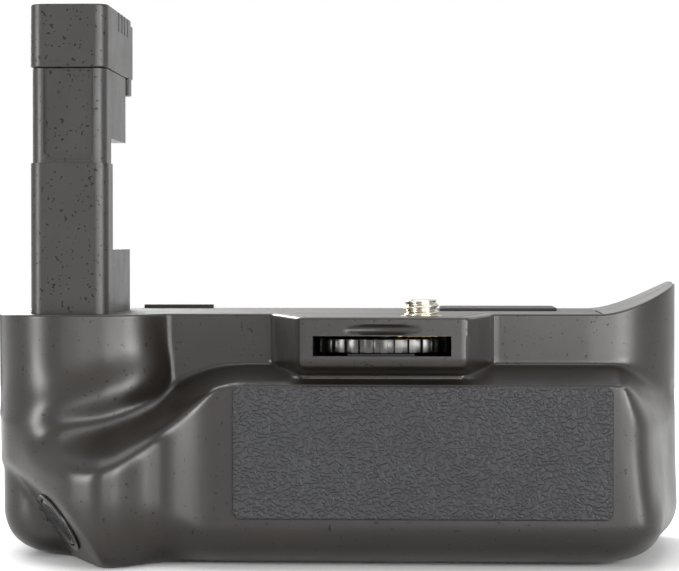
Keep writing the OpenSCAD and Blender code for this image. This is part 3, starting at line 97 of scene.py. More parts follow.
@dataclass(frozen=True)
class Finish:
    """Procedural finish of one kind of surface.

    Attributes:
        name: name of the material.
        slot: material slot of the record; not used.
        colour: linear base colour.
        shade: linear colour of the darker patches: random clouding, specks, and on leather painted shade in
            the grain's creases.
        roughness: mean roughness.
        grain: kind of relief.
        scale: grain features per metre.
        relief: depth of the relief in metres.
        metallic: metallic share.
        specular: specular level.
    """

    name: str
    slot: str
    colour: Triple
    shade: Triple
    roughness: float
    grain: Grain
    scale: float
    relief: float
    metallic: float = 0.0
    specular: float = 0.5

    def material(self) -> bpy.types.Material:
        """Make the material once and hand it out again afterwards.

        Returns:
            The Blender material.
        """
        known = bpy.data.materials.get(self.name)
        if known is not None:
            return known
        mat = bpy.data.materials.new(self.name)
        mat.use_nodes = True
        tree = ShaderTree(mat.node_tree)
        bsdf = mat.node_tree.nodes["Principled BSDF"]
        bsdf.inputs["Metallic"].default_value = self.metallic
        bsdf.inputs["Specular IOR Level"].default_value = self.specular
        place = tree.coordinates()
        speck = tree.specks(place, self)
        tint = tree.tint(place, self, speck)
        rough = tree.roughness(place, self)
        normal = tree.relief(place, self)
        tree.link(tint, bsdf.inputs["Base Color"])
        tree.link(rough, bsdf.inputs["Roughness"])
        tree.link(normal, bsdf.inputs["Normal"])
        if speck is not None:
            dulled = tree.ramp(speck, 0.0, 1.0, self.specular, SPECK_SPECULAR)
            tree.link(dulled, bsdf.inputs["Specular IOR Level"])
        mat.diffuse_color = (*self.colour, 1.0)
        return mat


class ShaderTree:
    """Small helper that adds nodes to the tree of a material or a world."""

    def __init__(self, tree: bpy.types.NodeTree) -> None:
        """Keep the tree."""
        self.tree = tree

    def link(self, source: Socket, target: Socket) -> None:
        """Join an output socket to an input socket."""
        self.tree.links.new(source, target)

    def node(self, kind: str, **values: object) -> bpy.types.Node:
        """Add a node and set its plain attributes.

        Args:
            kind: Blender's name of the node type.
            **values: attributes of the node.

        Returns:
            The new node.
        """
        made = self.tree.nodes.new(kind)
        for key, value in values.items():
            setattr(made, key, value)
        return made

    def coordinates(self) -> Socket:
        """Object coordinates, in metres."""
        return self.node("ShaderNodeTexCoord").outputs["Object"]

    def stretched(self, place: Socket, factors: Triple) -> Socket:
        """Coordinates scaled along each axis.

        Args:
            place: coordinates.
            factors: scale along x, y and z.

        Returns:
            The scaled coordinates.
        """
        made = self.node("ShaderNodeVectorMath", operation="MULTIPLY")
        self.link(place, made.inputs[0])
        made.inputs[1].default_value = factors
        return made.outputs["Vector"]

    def noise(self, place: Socket, scale: float, detail: float, rough: float = 0.55) -> Socket:
        """Fractal noise.

        Args:
            place: coordinates.
            scale: features per metre.
            detail: octaves.
            rough: share that each octave keeps.

        Returns:
            The value socket.
        """
        made = self.node("ShaderNodeTexNoise")
        made.inputs["Scale"].default_value = scale
        made.inputs["Detail"].default_value = detail
        made.inputs["Roughness"].default_value = rough
        self.link(place, made.inputs["Vector"])
        return made.outputs["Fac"]

    def ramp(self, value: Socket, low: float, high: float, a: float, b: float) -> Socket:
        """Map a value range to another, with clamped ends.

        Args:
            value: input value.
            low: input that gives a.
            high: input that gives b.
            a: first output.
            b: second output.

        Returns:
            The mapped value.
        """
        made = self.node("ShaderNodeMapRange")
        for key, number in zip(("From Min", "From Max", "To Min", "To Max"), (low, high, a, b)):
            made.inputs[key].default_value = number
        self.link(value, made.inputs["Value"])
        return made.outputs["Result"]

    def math(self, operation: str, a: Socket, b: Socket | float) -> Socket:
        """Join two values by one operation.

        Args:
            operation: Blender's name of the operation.
            a: first value.
            b: second value, a socket or a number.

        Returns:
            The result.
        """
        made = self.node("ShaderNodeMath", operation=operation)
        self.link(a, made.inputs[0])
        if isinstance(b, (int, float)):
            made.inputs[1].default_value = b
        else:
            self.link(b, made.inputs[1])
        return made.outputs[0]

    def specks(self, place: Socket, finish: Finish) -> Socket | None:
        """Dull dark specks of the moulded surfaces.

        Args:
            place: coordinates.
            finish: the finish.

        Returns:
            Share of the dark colour, or nothing on a surface without specks.
        """
        if finish.grain not in SPECKS:
            return None
        start, full, strength = SPECKS[finish.grain]
        return self.ramp(self.noise(place, SPECK_SCALE, 1.0), start, full, 0.0, strength)

    def tint(self, place: Socket, finish: Finish, speck: Socket | None) -> Socket:
        """Base colour with broad clouding, specks, and on leather painted shade in the grain's creases.

        Args:
            place: coordinates.
            finish: the finish.
            speck: share of dark specks, if the finish has any.

        Returns:
            The colour socket.
        """
        cloud = self.ramp(self.noise(place, CLOUD_SCALE, 4.0), 0.35, 0.65, 0.0, 0.45)
        if finish.grain is Grain.LEATHER:
            # Painted shade: the leather's creases, the low points of its relief, are mixed towards the dark
            # colour.
            crease = self.ramp(self.leather(place, finish.scale), 0.02, 0.2, 1.0, 0.0)
            cloud = self.math("MAXIMUM", cloud, crease)
        if speck is not None:
            cloud = self.math("MAXIMUM", cloud, speck)
        mix = self.node("ShaderNodeMix", data_type="RGBA")
        mix.inputs["A"].default_value = (*finish.colour, 1.0)
        mix.inputs["B"].default_value = (*finish.shade, 1.0)
        self.link(cloud, mix.inputs["Factor"])
        return mix.outputs["Result"]

    def roughness(self, place: Socket, finish: Finish) -> Socket:
        """Roughness with handling marks.

        Args:
            place: coordinates.
            finish: the finish.

        Returns:
            The value socket.
        """
        smear = self.noise(place, SMEAR_SCALE, 5.0, 0.6)
        spread = 0.16 if finish.grain in (Grain.POLISH, Grain.TURNED) else 0.08
        return self.ramp(smear, 0.3, 0.7, finish.roughness - spread / 2, finish.roughness + spread / 2)

    def leather(self, place: Socket, scale: float) -> Socket:
        """Distance from the creases of a leather grain.

        Args:
            place: coordinates.
            scale: pebbles per metre.

        Returns:
            The distance socket.
        """
        grain = self.noise(self.stretched(place, LEATHER_STRETCH), scale, 1.2, 0.5)
        fold = self.math("SUBTRACT", grain, 0.5)
        return self.math("MULTIPLY", self.math("ABSOLUTE", fold, 0.0), 3.0)

    def relief(self, place: Socket, finish: Finish) -> Socket:
        """Normal of the finish's relief.

        Args:
            place: coordinates.
            finish: the finish.

        Returns:
            The normal socket.
        """
        if finish.grain is Grain.LEATHER:
            pebble = self.ramp(self.leather(place, finish.scale), 0.0, 0.35, 0.0, 1.0)
            fine = self.ramp(self.noise(place, finish.scale * 3.0, 2.0), 0.2, 0.8, 0.0, 0.3)
            height = self.math("ADD", pebble, fine)
        elif finish.grain is Grain.TURNED:
            height = self.noise(self.stretched(place, TURNED_STRETCH), finish.scale, 3.0)
        else:
            height = self.noise(place, finish.scale, 3.0, 0.65)
        bump = self.node("ShaderNodeBump")
        bump.inputs["Strength"].default_value = 1.0
        bump.inputs["Distance"].default_value = finish.relief
        self.link(height, bump.inputs["Height"])
        return bump.outputs["Normal"]


BODY = Finish(
    "Body", "body_plastic", (0.0128, 0.0099, 0.0078), (0.0032, 0.0026, 0.0021), 0.33,
    Grain.SPRAY, 2600.0, 0.000012,
)
TOWER = Finish(
    "Tower", "tower_plastic", (0.0165, 0.0142, 0.0132), (0.005, 0.0044, 0.004), 0.4,
    Grain.MOULD, 2400.0, 0.000015,
)
PLATE = Finish(
    "Plate", "plate_plastic", (0.05, 0.047, 0.043), (0.03, 0.028, 0.026), 0.55,
    Grain.SPRAY, 2600.0, 0.00002,
)
PAD = Finish(
    "Pad", "pad_rubber", (0.0132, 0.0136, 0.0162), (0.0018, 0.0018, 0.0022), 0.6,
    Grain.LEATHER, 1100.0, 0.00014,
)
MAT = Finish(
    "Mat", "mat_rubber", (0.016, 0.016, 0.017), (0.009, 0.009, 0.01), 0.75,
    Grain.RUBBER, 3000.0, 0.00004,
)
BLACK = Finish(
    "Black", "black_plastic", (0.02, 0.02, 0.02), (0.012, 0.012, 0.012), 0.22,
    Grain.POLISH, 900.0, 0.000006,
)
LINER = Finish(
    "Liner", "liner_plastic", (0.03, 0.03, 0.031), (0.018, 0.018, 0.019), 0.48,
    Grain.SPRAY, 2200.0, 0.00003,
)
NICKEL = Finish(
    "Nickel", "screw_metal", (0.5, 0.48, 0.43), (0.36, 0.34, 0.3), 0.2,
    Grain.TURNED, 4000.0, 0.00001, 1.0,
)
STEEL = Finish(
    "Steel", "steel", (0.5, 0.5, 0.51), (0.36, 0.36, 0.37), 0.32,
    Grain.TURNED, 3000.0, 0.00001, 1.0,
)
KNURL = Finish(
    "Knurl", "steel", (0.085, 0.083, 0.08), (0.05, 0.049, 0.047), 0.3,
    Grain.TURNED, 3000.0, 0.000006, 1.0,
)
DARK = Finish(
    "Dark", "steel", (0.03, 0.03, 0.031), (0.018, 0.018, 0.019), 0.5,
    Grain.TURNED, 3000.0, 0.00001, 0.6,
)
BRASS = Finish(
    "Brass", "brass", (0.66, 0.48, 0.2), (0.5, 0.35, 0.14), 0.28,
    Grain.TURNED, 3000.0, 0.00001, 1.0,
)
GILT = Finish(
    "Gilt", "gilt", (0.83, 0.6, 0.22), (0.68, 0.46, 0.16), 0.22,
    Grain.POLISH, 2000.0, 0.000005, 1.0,
)
BOARD = Finish(
    "Board", "board", (0.02, 0.11, 0.05), (0.012, 0.075, 0.034), 0.36,
    Grain.BOARD, 1500.0, 0.00001,
)
RIBBON = Finish(
    "Ribbon", "ribbon", (0.42, 0.19, 0.035), (0.3, 0.13, 0.02), 0.35,
    Grain.POLISH, 1200.0, 0.00001,
)
Trim = tuple[str, Finish, float]


def body_of_node(node: str) -> str:
    """Name of the CAD body that a node belongs to."""
    bodies = frame["record"]["behaviour"]["bodies"]
    return next(name for name, members in bodies.items() if node in members)


def add_piece(
    name: str, mesh: bmesh.types.BMesh, finish: Finish, body: str, crease: float
) -> Piece:
    """Turn a bmesh into a smooth-shaded piece that rides on a body.

    Args:
        name: name of the new object.
        mesh: geometry in the row frame, in metres; it is freed.
        finish: finish of the piece.
        body: CAD body that carries it.
        crease: edges sharper than this many degrees stay sharp.

    Returns:
        The new object.
    """
    data = bpy.data.meshes.new(name)
    for face in mesh.faces:
        face.smooth = True
    for edge in mesh.edges:
        edge.smooth = len(edge.link_faces) < 2 or edge.calc_face_angle(0.0) < math.radians(crease)
    mesh.to_mesh(data)
    mesh.free()
    piece = bpy.data.objects.new(name, data)
    bpy.context.scene.collection.objects.link(piece)
    data.materials.append(finish.material())
    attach(piece, body)
    log.info("piece %s: %d faces on %s", name, len(data.polygons), body)
    return piece


def refined(
    node: str, finish: Finish, edge: float, crease: float = 32.0, segments: int = 2, flat: bool = True
) -> Piece:
    """Copy a CAD node, clean its facets and round its sharp edges.

    Args:
        node: CAD node to stand for.
        finish: finish of the piece.
        edge: width of the edge rounding in millimetres.
        crease: edges sharper than this many degrees are rounded.
        segments: facets across each rounded edge.
        flat: whether broad faces shade flat right up to their rounded edges.

    Returns:
        The new object, which replaces the node.
    """
    mesh = bmesh.new()
    mesh.from_mesh(frame["nodes"][node].data)
    bmesh.ops.remove_doubles(mesh, verts=mesh.verts[:], dist=MERGE * MM)
    level = math.radians(LEVEL_ANGLE)
    bmesh.ops.dissolve_limit(mesh, angle_limit=level, verts=mesh.verts[:], edges=mesh.edges[:])
    limit = math.radians(crease)
    sharp = [e for e in mesh.edges if len(e.link_faces) == 2 and e.calc_face_angle(0.0) > limit]
    bmesh.ops.bevel(
        mesh, geom=sharp, offset=edge * MM, offset_type="OFFSET", affect="EDGES", segments=segments,
        profile=0.5, clamp_overlap=True, material=-1,
    )
    bmesh.ops.triangulate(mesh, faces=[f for f in mesh.faces if len(f.verts) > 4])
    piece = add_piece(f"{node}_look", mesh, finish, body_of_node(node), crease=LOOK_CREASE)
    if flat:
        piece.modifiers.new("flat faces", "WEIGHTED_NORMAL").keep_sharp = True
    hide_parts(node)
    return piece


@dataclass(frozen=True)
class FrontForm:
    """Height field of the sculpted front, in millimetres: y as a function of x and z.

    The sizes are those of the CAD moulding, apart from the roll's right end, which is rounder and
    longer here. A set lies behind the front plane. Insets and spans count from the left end, end_span
    and blend_span from the right end, and reach_span from the base.
    """

    left: float = -64.0
    right: float = 64.0
    front: float = -32.0
    height: float = 45.3
    split: float = 14.0
    wall: float = 1.9
    corner_r: float = 9.5
    left_corner_r: float = 8.5
    lean: float = 0.4
    ear_rise: float = 5.6
    ear_w: float = 15.0
    ear_power: float = 1.6
    grip_set: float = 13.8
    grip_w: float = 32.5
    column_r: float = 13.0
    cheek_r: float = 7.5
    grip_inner_r: float = 12.0
    tilt: float = 0.16
    tilt_inset: float = 12.0
    flare: float = 2.0
    flare_z: float = 30.5
    flare_w: float = 5.0
    flare_inset: float = 21.7
    flare_slope: float = 0.315
    cheek_set: float = 5.5
    panel_set: float = 23.5
    side_r: float = 18.0
    housing_x: float = 8.5
    housing_w: float = 30.2
    housing_set: float = 2.5
    housing_h: float = 9.8
    flank_left: float = 6.0
    flank_right: float = 5.0
    housing_edge_r: float = 2.5
    roll_set: float = 3.5
    roll_h: float = 35.6
    roll_ledge: float = 2.6
    roll_gap: float = 6.0
    roll_end_w: float = 7.0
    roll_end_d: float = 9.0
    end_drop: float = 4.0
    end_slope: float = 5.0
    end_blend: float = 8.0
    end_reach: float = 1.5
    reach_span: Span = (5.0, 24.0)
    roll_foot_h: float = 8.0
    roll_foot_d: float = 13.0
    swell_inset: float = 22.5
    swell_w: float = 6.2
    swell_h: float = 27.8
    swell_ledge: float = 12.0
    swell_foot_h: float = 13.0
    swell_foot_d: float = 5.5
    valley_inset: float = 32.0
    valley_w: float = 6.2
    valley_d: float = 3.0
    start_span: Span = (3.0, 17.0)
    shoulder_span: Span = (18.0, 43.0)
    slope_span: Span = (24.0, 48.0)
    foot_span: Span = (26.0, 42.0)
    end_span: Span = (13.5, 4.0)
    blend_span: Span = (18.0, 9.0)
    roll_blend: float = 3.0
    tilt_blend: float = 0.8
    column_blend: float = 2.5
    edge_blend: float = 1.6
    cheek_blend: float = 1.0
    ledge_share: float = 0.7
    button_at: Triple = (-50.9, -20.0, 7.5)
    button_out: Triple = (-0.756972, -0.361057, -0.544639)

    @staticmethod
    def joined(a: Field, b: Field, k: Field | float) -> Field:
        """Smooth minimum over a blend of width k: two forms grown together."""
        h = np.maximum(k - np.abs(a - b), 0.0) / k
        return np.minimum(a, b) - h * h * k / 4.0

    @classmethod
    def trimmed(cls, a: Field, b: Field, k: float) -> Field:
        """Smooth maximum over a blend of width k: one form cut by another."""
        return -cls.joined(-a, -b, k)

    @staticmethod
    def rounded(d: Field, r: Field, steep: float = 4.0) -> Field:
        """Depth of an edge of radius r at a distance d inside it, with a steep slope outside."""
        inner = r - np.sqrt(np.maximum(r * r - (r - np.clip(d, 0.0, None)) ** 2, 0.0))
        return np.where(d >= r, 0.0, np.where(d <= 0.0, r - steep * d, inner))

    @staticmethod
    def step(v: Field, a: Field, b: Field) -> Field:
        """Smooth step from 0 at a to 1 at b."""
        s = np.clip((v - a) / (b - a), 0.0, 1.0)
        return s * s * (3.0 - 2.0 * s)

    @staticmethod
    def ease(v: Field, a: Field, b: Field) -> Field:
        """Softer step from 0 at a to 1 at b, with level curvature at both ends."""
        s = np.clip((v - a) / (b - a), 0.0, 1.0)
        return s**3 * (10.0 - 15.0 * s + 6.0 * s * s)

    @staticmethod
    def bump(v: Field, at: Field, width: float) -> Field:
        """Bell curve of height 1."""
        return np.exp(-(((v - at) / width) ** 2))

    def along(self, x: Field, span: Span) -> Field:
        """Smooth step between two distances from the left end."""
        return self.step(x, self.left + span[0], self.left + span[1])

    @staticmethod
    def corner(h: Field, r: float) -> Field:
        """How far a lower corner of radius r comes in at a height h."""
        return np.where(h >= r, 0.0, r - np.sqrt(np.maximum(r * r - (r - h) ** 2, 0.0)))

    def left_at(self, z: Field, t: float = 0.0) -> Field:
        """Left edge of the outline at a height, t inside the skin."""
        lean = self.lean * (1.0 - z / self.height)
        return self.left + t + lean + self.corner(z - t, self.left_corner_r - t)

    def right_at(self, z: Field, t: float = 0.0) -> Field:
        """Right edge of the outline at a height, t inside the skin."""
        return self.right - t - self.corner(z - t, self.corner_r - t)

    def ear(self, x: Field) -> Field:
        """Rise of the top edge towards the ear."""
        share = np.clip((x - self.right + self.ear_w) / self.ear_w, 0.0, None)
        return self.ear_rise * share**self.ear_power

    def upper(self, x: Field, z: Field, t: float) -> Field:
        """Column and plain panels.

        Args:
            x: places across the front.
            z: heights.
            t: distance inside the skin.

        Returns:
            Depth y at each place.
        """
        flare_at = self.flare_z + self.flare_slope * (x - self.left - self.flare_inset)
        turned = self.tilt * (x - self.left - self.tilt_inset)
        column = (
            self.front + self.grip_set + t + self.trimmed(np.zeros_like(x), turned, self.tilt_blend)
            - self.flare * self.bump(z, flare_at, self.flare_w)
            + self.rounded(x - self.left_at(z, t), self.column_r - t)
            + self.rounded(self.left + self.grip_w - t - x, self.grip_inner_r - t)
        )
        panel = self.front + self.panel_set + t + self.rounded(self.right_at(z, t) - x, self.side_r - t)
        return self.joined(column, panel, self.column_blend)

    def housing(self, x: Field, z: Field, t: float) -> Field:
        """Wheel housing between its two flanks.

        Args:
            x: places across the front.
            z: heights.
            t: distance inside the skin.

        Returns:
            Depth y at each place.
        """
        face = self.front + self.housing_set
        depth = self.panel_set - self.housing_set
        form = np.full_like(x, face + t)
        for slope, outside in (
            (depth / self.flank_left, self.housing_x - self.housing_w / 2 - x),
            (depth / self.flank_right, x - self.housing_x - self.housing_w / 2),
        ):
            flank = face + slope * (outside + t * math.sqrt(1.0 + 1.0 / slope**2))
            form = self.trimmed(form, flank, self.edge_blend)
        return form + self.rounded(z - (self.height - self.housing_h) - t, self.housing_edge_r - t)

    def lower(self, x: Field, z: Field, t: float) -> Field:
        """Lower front: roll with its round right end, valley and finger swell.

        Args:
            x: places across the front.
            z: heights.
            t: distance inside the skin.

        Returns:
            Depth y at each place.
        """
        swell = self.roll_set * self.bump(x, self.left + self.swell_inset, self.swell_w)
        valley = self.valley_d * self.bump(x, self.left + self.valley_inset, self.valley_w)
        gap = self.roll_gap - self.end_reach * (1.0 - self.step(z, *self.reach_span))
        end = self.rounded(self.right_at(z, t) - gap - x, self.roll_end_w - t)
        return self.front + self.roll_set + t - swell + valley + self.roll_end_d / self.roll_end_w * end

    def before_end(self, x: Field, span: Span) -> Field:
        """Smooth step between two distances from the right end."""
        return self.step(x, self.right - span[0], self.right - span[1])

    def crest(self, x: Field) -> Field:
        """Height where the lower front ends."""
        rise = (self.roll_h - self.swell_h) * self.along(x, self.shoulder_span)
        return self.swell_h + rise - self.end_drop * self.before_end(x, self.end_span)

    def share(self, x: Field, z: Field, t: float) -> Field:
        """How far the lower front has taken over from the upper one.

        Args:
            x: places across the front.
            z: heights.
            t: distance inside the skin.

        Returns:
            Share from 0 to 1 at each place.
        """
        end = self.before_end(x, self.end_span)
        top = self.crest(x) - self.ledge_share * t
        plain = self.along(x, self.slope_span)
        slope = self.swell_ledge + (self.roll_ledge - self.swell_ledge) * plain + self.end_slope * end
        return (1.0 - self.ease(z, top - slope, top)) * self.along(x - t, self.start_span)

    def foot(self, x: Field, z: Field, t: float) -> Field:
        """Round lower edge, deeper under the roll than under the swell.

        Args:
            x: places across the front.
            z: heights.
            t: distance inside the skin.

        Returns:
            How far the front is set back at each place.
        """
        share = self.along(x, self.foot_span)
        high = self.swell_foot_h + (self.roll_foot_h - self.swell_foot_h) * share
        deep = self.swell_foot_d + (self.roll_foot_d - self.swell_foot_d) * share
        return deep / high * self.rounded(z - t, high - t)

    def facet(self, x: Field, z: Field) -> Field:
        """Plane of the release button."""
        p, n = self.button_at, self.button_out
        return p[1] - (n[0] * (x - p[0]) + n[2] * (z - p[2])) / n[1]

    def line(self, x: Field, z: Field, t: float = 0.0) -> Field:
        """Whole front surface.

        Args:
            x: places across the front.
            z: heights.
            t: distance inside the skin.

        Returns:
            Depth y at each place.
        """
        upper = self.upper(x, z, t)
        blend = self.roll_blend + self.end_blend * self.before_end(x, self.blend_span)
        roll = self.joined(self.lower(x, z, t), upper, blend)
        body = upper + (roll - upper) * self.share(x, z, t)
        body = self.joined(body, self.housing(x, z, t), self.edge_blend)
        body = self.trimmed(body + self.foot(x, z, t), self.facet(x, z), self.edge_blend)
        cheek = (
            self.front + self.grip_set + self.cheek_set + t
            + self.rounded(x - self.left_at(z, t), self.cheek_r - t)
            + self.rounded(z - t, self.left_corner_r / 2 - t)
            + self.rounded(self.left + self.grip_w - t - x, self.grip_inner_r - t)
        )
        return self.joined(body, cheek, self.cheek_blend)


@dataclass
class FrontSkin:
    """Dense skin of the front moulding, with the wheel's slot, the nail groove and the button's hole.

    Attributes:
        form: surface formula.
        corner_steps: samples round each upright corner.
        fine: sample distance in millimetres.
        rim_r: round of the top edge.
        slot_x: left and right edge of the wheel's slot.
        slot_z: lower and upper edge of the wheel's slot.
        hole_r: radius within which the skin is left out for the button.
        rim_hole_r: radius of the finished hole, under the bezel's rim.
        hole_reach: distance from the facet that belongs to the hole.
        seat_r: radius of the flat seat round the button's bezel.
        scoop: depth, radius and edge radius of the nail groove, and its height.
        soft: half width of the patch that rounds the crests left of the pad.
        soft_end: half width of the patch that rounds the roll's right end.
    """

    form: FrontForm = field(default_factory=FrontForm)
    corner_steps: int = 16
    fine: float = 0.55
    rim_r: float = 0.45
    slot_x: Span = (-3.8, 20.8)
    slot_z: Span = (38.35, 41.95)
    hole_r: float = 5.9
    rim_hole_r: float = 5.7
    hole_reach: float = 3.0
    seat_r: float = 6.35
    scoop: tuple[float, float, float, float] = (1.1, 20.0, 0.85, 43.08)
    soft: float = 0.9
    soft_end: float = 2.2
    # Rows of samples, closer at the crests.
    corner_rows: int = 24
    crest_z: Span = (26.0, 31.0)
    crest_step: float = 0.4
    ledge_step: float = 0.28
    slot_rows: int = 9
    rim_rows: int = 16
    rim_steps: int = 6
    base_shares: tuple[float, ...] = (0.0, 0.35, 0.7, 0.92)
    # Openings and edges: depths and distances in millimetres.
    split_gap: float = 0.5
    slot_front: float = -20.0
    slot_pad: float = 0.3
    slot_depth: float = 2.4
    land_drop: float = 1.7
    # Where the rounding of the crests sets in and fades out: along x, by height, and from the crest.
    column_span: Span = (8.0, 14.0)
    pad_left: Span = (-26.0, -21.5)
    pad_right: Span = (50.8, 58.5)
    rim_span: Span = (4.0, 1.5)
    near_z: Span = (7.0, 11.0)
    end_z: Span = (6.0, 14.0)
    crest_in: Span = (-2.4, -1.4)
    crest_out: Span = (-1.0, 2.0)
    end_out: Span = (-2.0, 6.0)
    touch: float = 0.001
    shade_crease: float = 42.0

    def heights(self) -> Field:
        """Heights of the sampled rows, closer at the creases.

        Returns:
            Rising heights in millimetres.
        """
        f = self.form
        rows = np.concatenate([
            f.corner_r * (1.0 - np.cos(np.linspace(0.0, math.pi / 2, self.corner_rows))),
            np.arange(f.corner_r + self.fine, self.crest_z[0], self.fine),
            np.arange(*self.crest_z, self.crest_step),
            np.arange(self.crest_z[1], self.slot_z[0], self.ledge_step),
            np.linspace(*self.slot_z, self.slot_rows),
            np.linspace(self.slot_z[1], f.height - self.rim_r, self.rim_rows)[1:],
        ])
        return np.unique(np.round(rows, 4))

    def columns(self) -> Field:
        """Places across the core of the front, with the slot's edges among them.

        Returns:
            Rising places in millimetres.
        """
        f = self.form
        a, b = f.left + f.lean + f.column_r, f.right - f.side_r
        stops = [a, *self.slot_x, b]
        parts = [np.linspace(p, q, max(2, int((q - p) / self.fine)))[:-1] for p, q in zip(stops, stops[1:])]
        return np.concatenate(parts)[1:]

    def row(self, z: float, t: float) -> Field:
        """Places across the front at one height, t inside the skin.

        Args:
            z: height.
            t: distance inside the skin.

        Returns:
            Rising places in millimetres.
        """
        f = self.form
        a, b = float(f.left_at(np.array(z), t)), float(f.right_at(np.array(z), t))
        ra, rb = f.column_r - t, f.side_r - t
        turn = 1.0 - np.cos(np.linspace(0.0, math.pi / 2, self.corner_steps))
        core_a, core_b = f.left + f.lean + f.column_r, f.right - f.side_r
        core = a + ra + (self.columns() - core_a) * (b - rb - a - ra) / (core_b - core_a)
        end = 1.0 - np.cos(np.linspace(0.0, math.pi / 2, 2 * self.corner_steps))
        return np.concatenate([a + ra * turn, core, (b - rb * end)[::-1]])

    def grooved(self, x: Field, y: Field, z: Field) -> Field:
        """Cut the nail groove above the wheel.

        Args:
            x: places.
            y: depths.
            z: heights.

        Returns:
            Depths with the groove.
        """
        depth, radius, edge, level = self.scoop
        f = self.form
        reach = radius - edge + np.sqrt(np.maximum(edge**2 - (z - level) ** 2, 0.0))
        inside = np.maximum(reach**2 - (x - f.housing_x) ** 2, 0.0)
        cut = f.front + f.housing_set + depth - radius + np.sqrt(inside)
        return np.where(np.abs(z - level) < edge, np.maximum(y, cut), y)

    def seated(self, x: Field, y: Field, z: Field) -> Field:
        """Flatten the facet under the button's bezel.

        Args:
            x: places.
            y: depths.
            z: heights.

        Returns:
            Depths with the flat seat.
        """
        f = self.form
        flat = f.facet(x, z)
        off = np.stack([x, flat, z], axis=-1) - np.array(f.button_at)
        near = np.linalg.norm(off, axis=-1) < self.seat_r
        return np.where(near & (y < flat), flat, y)

    def softened(self, x: Field, z: Field) -> Field:
        """Depths of the front, with the crests beside and above the pad worn round.

        Args:
            x: places.
            z: heights.

        Returns:
            Depths in millimetres.
        """
        f = self.form
        plain = f.line(x, z)
        above = z - f.crest(x)
        left = f.along(x, self.column_span) * (1.0 - f.step(x, *self.pad_left))
        right = f.step(x, *self.pad_right) * (1.0 - f.before_end(x, self.rim_span))
        crest = (1.0 - left) * f.step(above, *self.crest_in)
        near = (left * f.step(z, *self.near_z) + crest) * (1.0 - f.step(above, *self.crest_out))
        far = right * f.step(z, *self.end_z) * (1.0 - f.step(above, *self.end_out))
        worn = plain + near * (self.averaged(x, z, self.soft) - plain)
        return worn + far * (self.averaged(x, z, self.soft_end) - plain)

    def averaged(self, x: Field, z: Field, reach: float) -> Field:
        """Mean depth of the front over a square patch of half width reach round each place."""
        offsets = np.linspace(-reach, reach, 5)
        return sum(self.form.line(x + dx, z + dz) for dx in offsets for dz in offsets) / offsets.size**2

    def points(self) -> Field:
        """Vertices of the skin, row by row: base, front, rounded rim and the top's land.

        Returns:
            Array of rows by columns by three.
        """
        f = self.form
        back = f.split - self.split_gap
        rows: list[Field] = []
        first = self.row(0.0, 0.0)
        front = f.line(first, np.zeros_like(first))
        for share in self.base_shares:
            depth = f.split + (front - f.split) * share
            rows.append(np.stack([first, depth, np.zeros_like(first)], axis=1))
        for z in self.heights():
            x = self.row(float(z), 0.0)
            lifted = z + f.step(np.array(z), f.swell_h, f.height) * f.ear(x)
            y = self.seated(x, self.grooved(x, self.softened(x, lifted), lifted), lifted)
            rows.append(np.stack([x, np.minimum(y, back), lifted], axis=1))
        for angle in np.linspace(0.0, math.pi / 2, self.rim_steps)[1:]:
            t = self.rim_r * (1.0 - math.cos(angle))
            x = self.row(f.height, t)
            z = f.height - self.rim_r * (1.0 - math.sin(angle)) + f.ear(x)
            y = np.minimum(f.line(x, np.full_like(x, f.height), t), back)
            rows.append(np.stack([x, y, z], axis=1))
        inner = self.row(f.height, f.wall)
        depth = np.minimum(f.line(inner, np.full_like(inner, f.height), f.wall), back)
        rows.append(np.stack([inner, depth, f.height + f.ear(inner)], axis=1))
        return np.array(rows)

    def build(self) -> Piece:
        """Make the skin.

        Returns:
            The piece that replaces the CAD front moulding.
        """
        f = self.form
        points = self.points()
        strips: list[Field] = []
        for edge in (points[:, :1], points[:, -1:]):
            near, far = edge.copy(), edge.copy()
            near[:, :, 1] = np.minimum(edge[:, :, 1] + self.fine, f.split)
            far[:, :, 1] = f.split
            strips += [near, far]
        grid = np.concatenate([strips[1], strips[0], points, strips[2], strips[3]], axis=1)
        count_r, count_c = grid.shape[:2]
        mesh = bmesh.new()
        verts = [[mesh.verts.new(Vector(p) * MM) for p in row] for row in grid]
        axis, centre = np.array(f.button_out), np.array(f.button_at)
        off = grid - centre
        radial = np.linalg.norm(off - (off @ axis)[..., None] * axis, axis=2)
        in_hole = (radial < self.hole_r) & (np.abs(off @ axis) < self.hole_reach)
        x, y, z = np.moveaxis((grid[:-1, :-1] + grid[1:, 1:]) / 2, -1, 0)
        in_slot = (
            (x > self.slot_x[0]) & (x < self.slot_x[1])
            & (z > self.slot_z[0]) & (z < self.slot_z[1]) & (y < self.slot_front)
        )
        for i in range(count_r - 1):
            for j in range(count_c - 1):
                hole = in_hole[i, j] and in_hole[i + 1, j] and in_hole[i, j + 1] and in_hole[i + 1, j + 1]
                if in_slot[i, j] or hole:
                    continue
                mesh.faces.new((verts[i][j], verts[i][j + 1], verts[i + 1][j + 1], verts[i + 1][j]))
        bmesh.ops.remove_doubles(mesh, verts=mesh.verts[:], dist=self.touch * MM)
        bmesh.ops.delete(mesh, geom=[v for v in mesh.verts if not v.link_faces], context="VERTS")
        self.clear_bore(mesh)
        self.close_top(mesh)
        slot_edges = [e for e in mesh.edges if e.is_boundary and self.on_slot(e)]
        self.push_in(mesh, slot_edges, Vector((0.0, self.slot_depth, 0.0)) * MM)
        bmesh.ops.recalc_face_normals(mesh, faces=mesh.faces[:])
        piece = add_piece("front_skin", mesh, BODY, ROOT, crease=self.shade_crease)
        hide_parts("front_shell")
        return piece

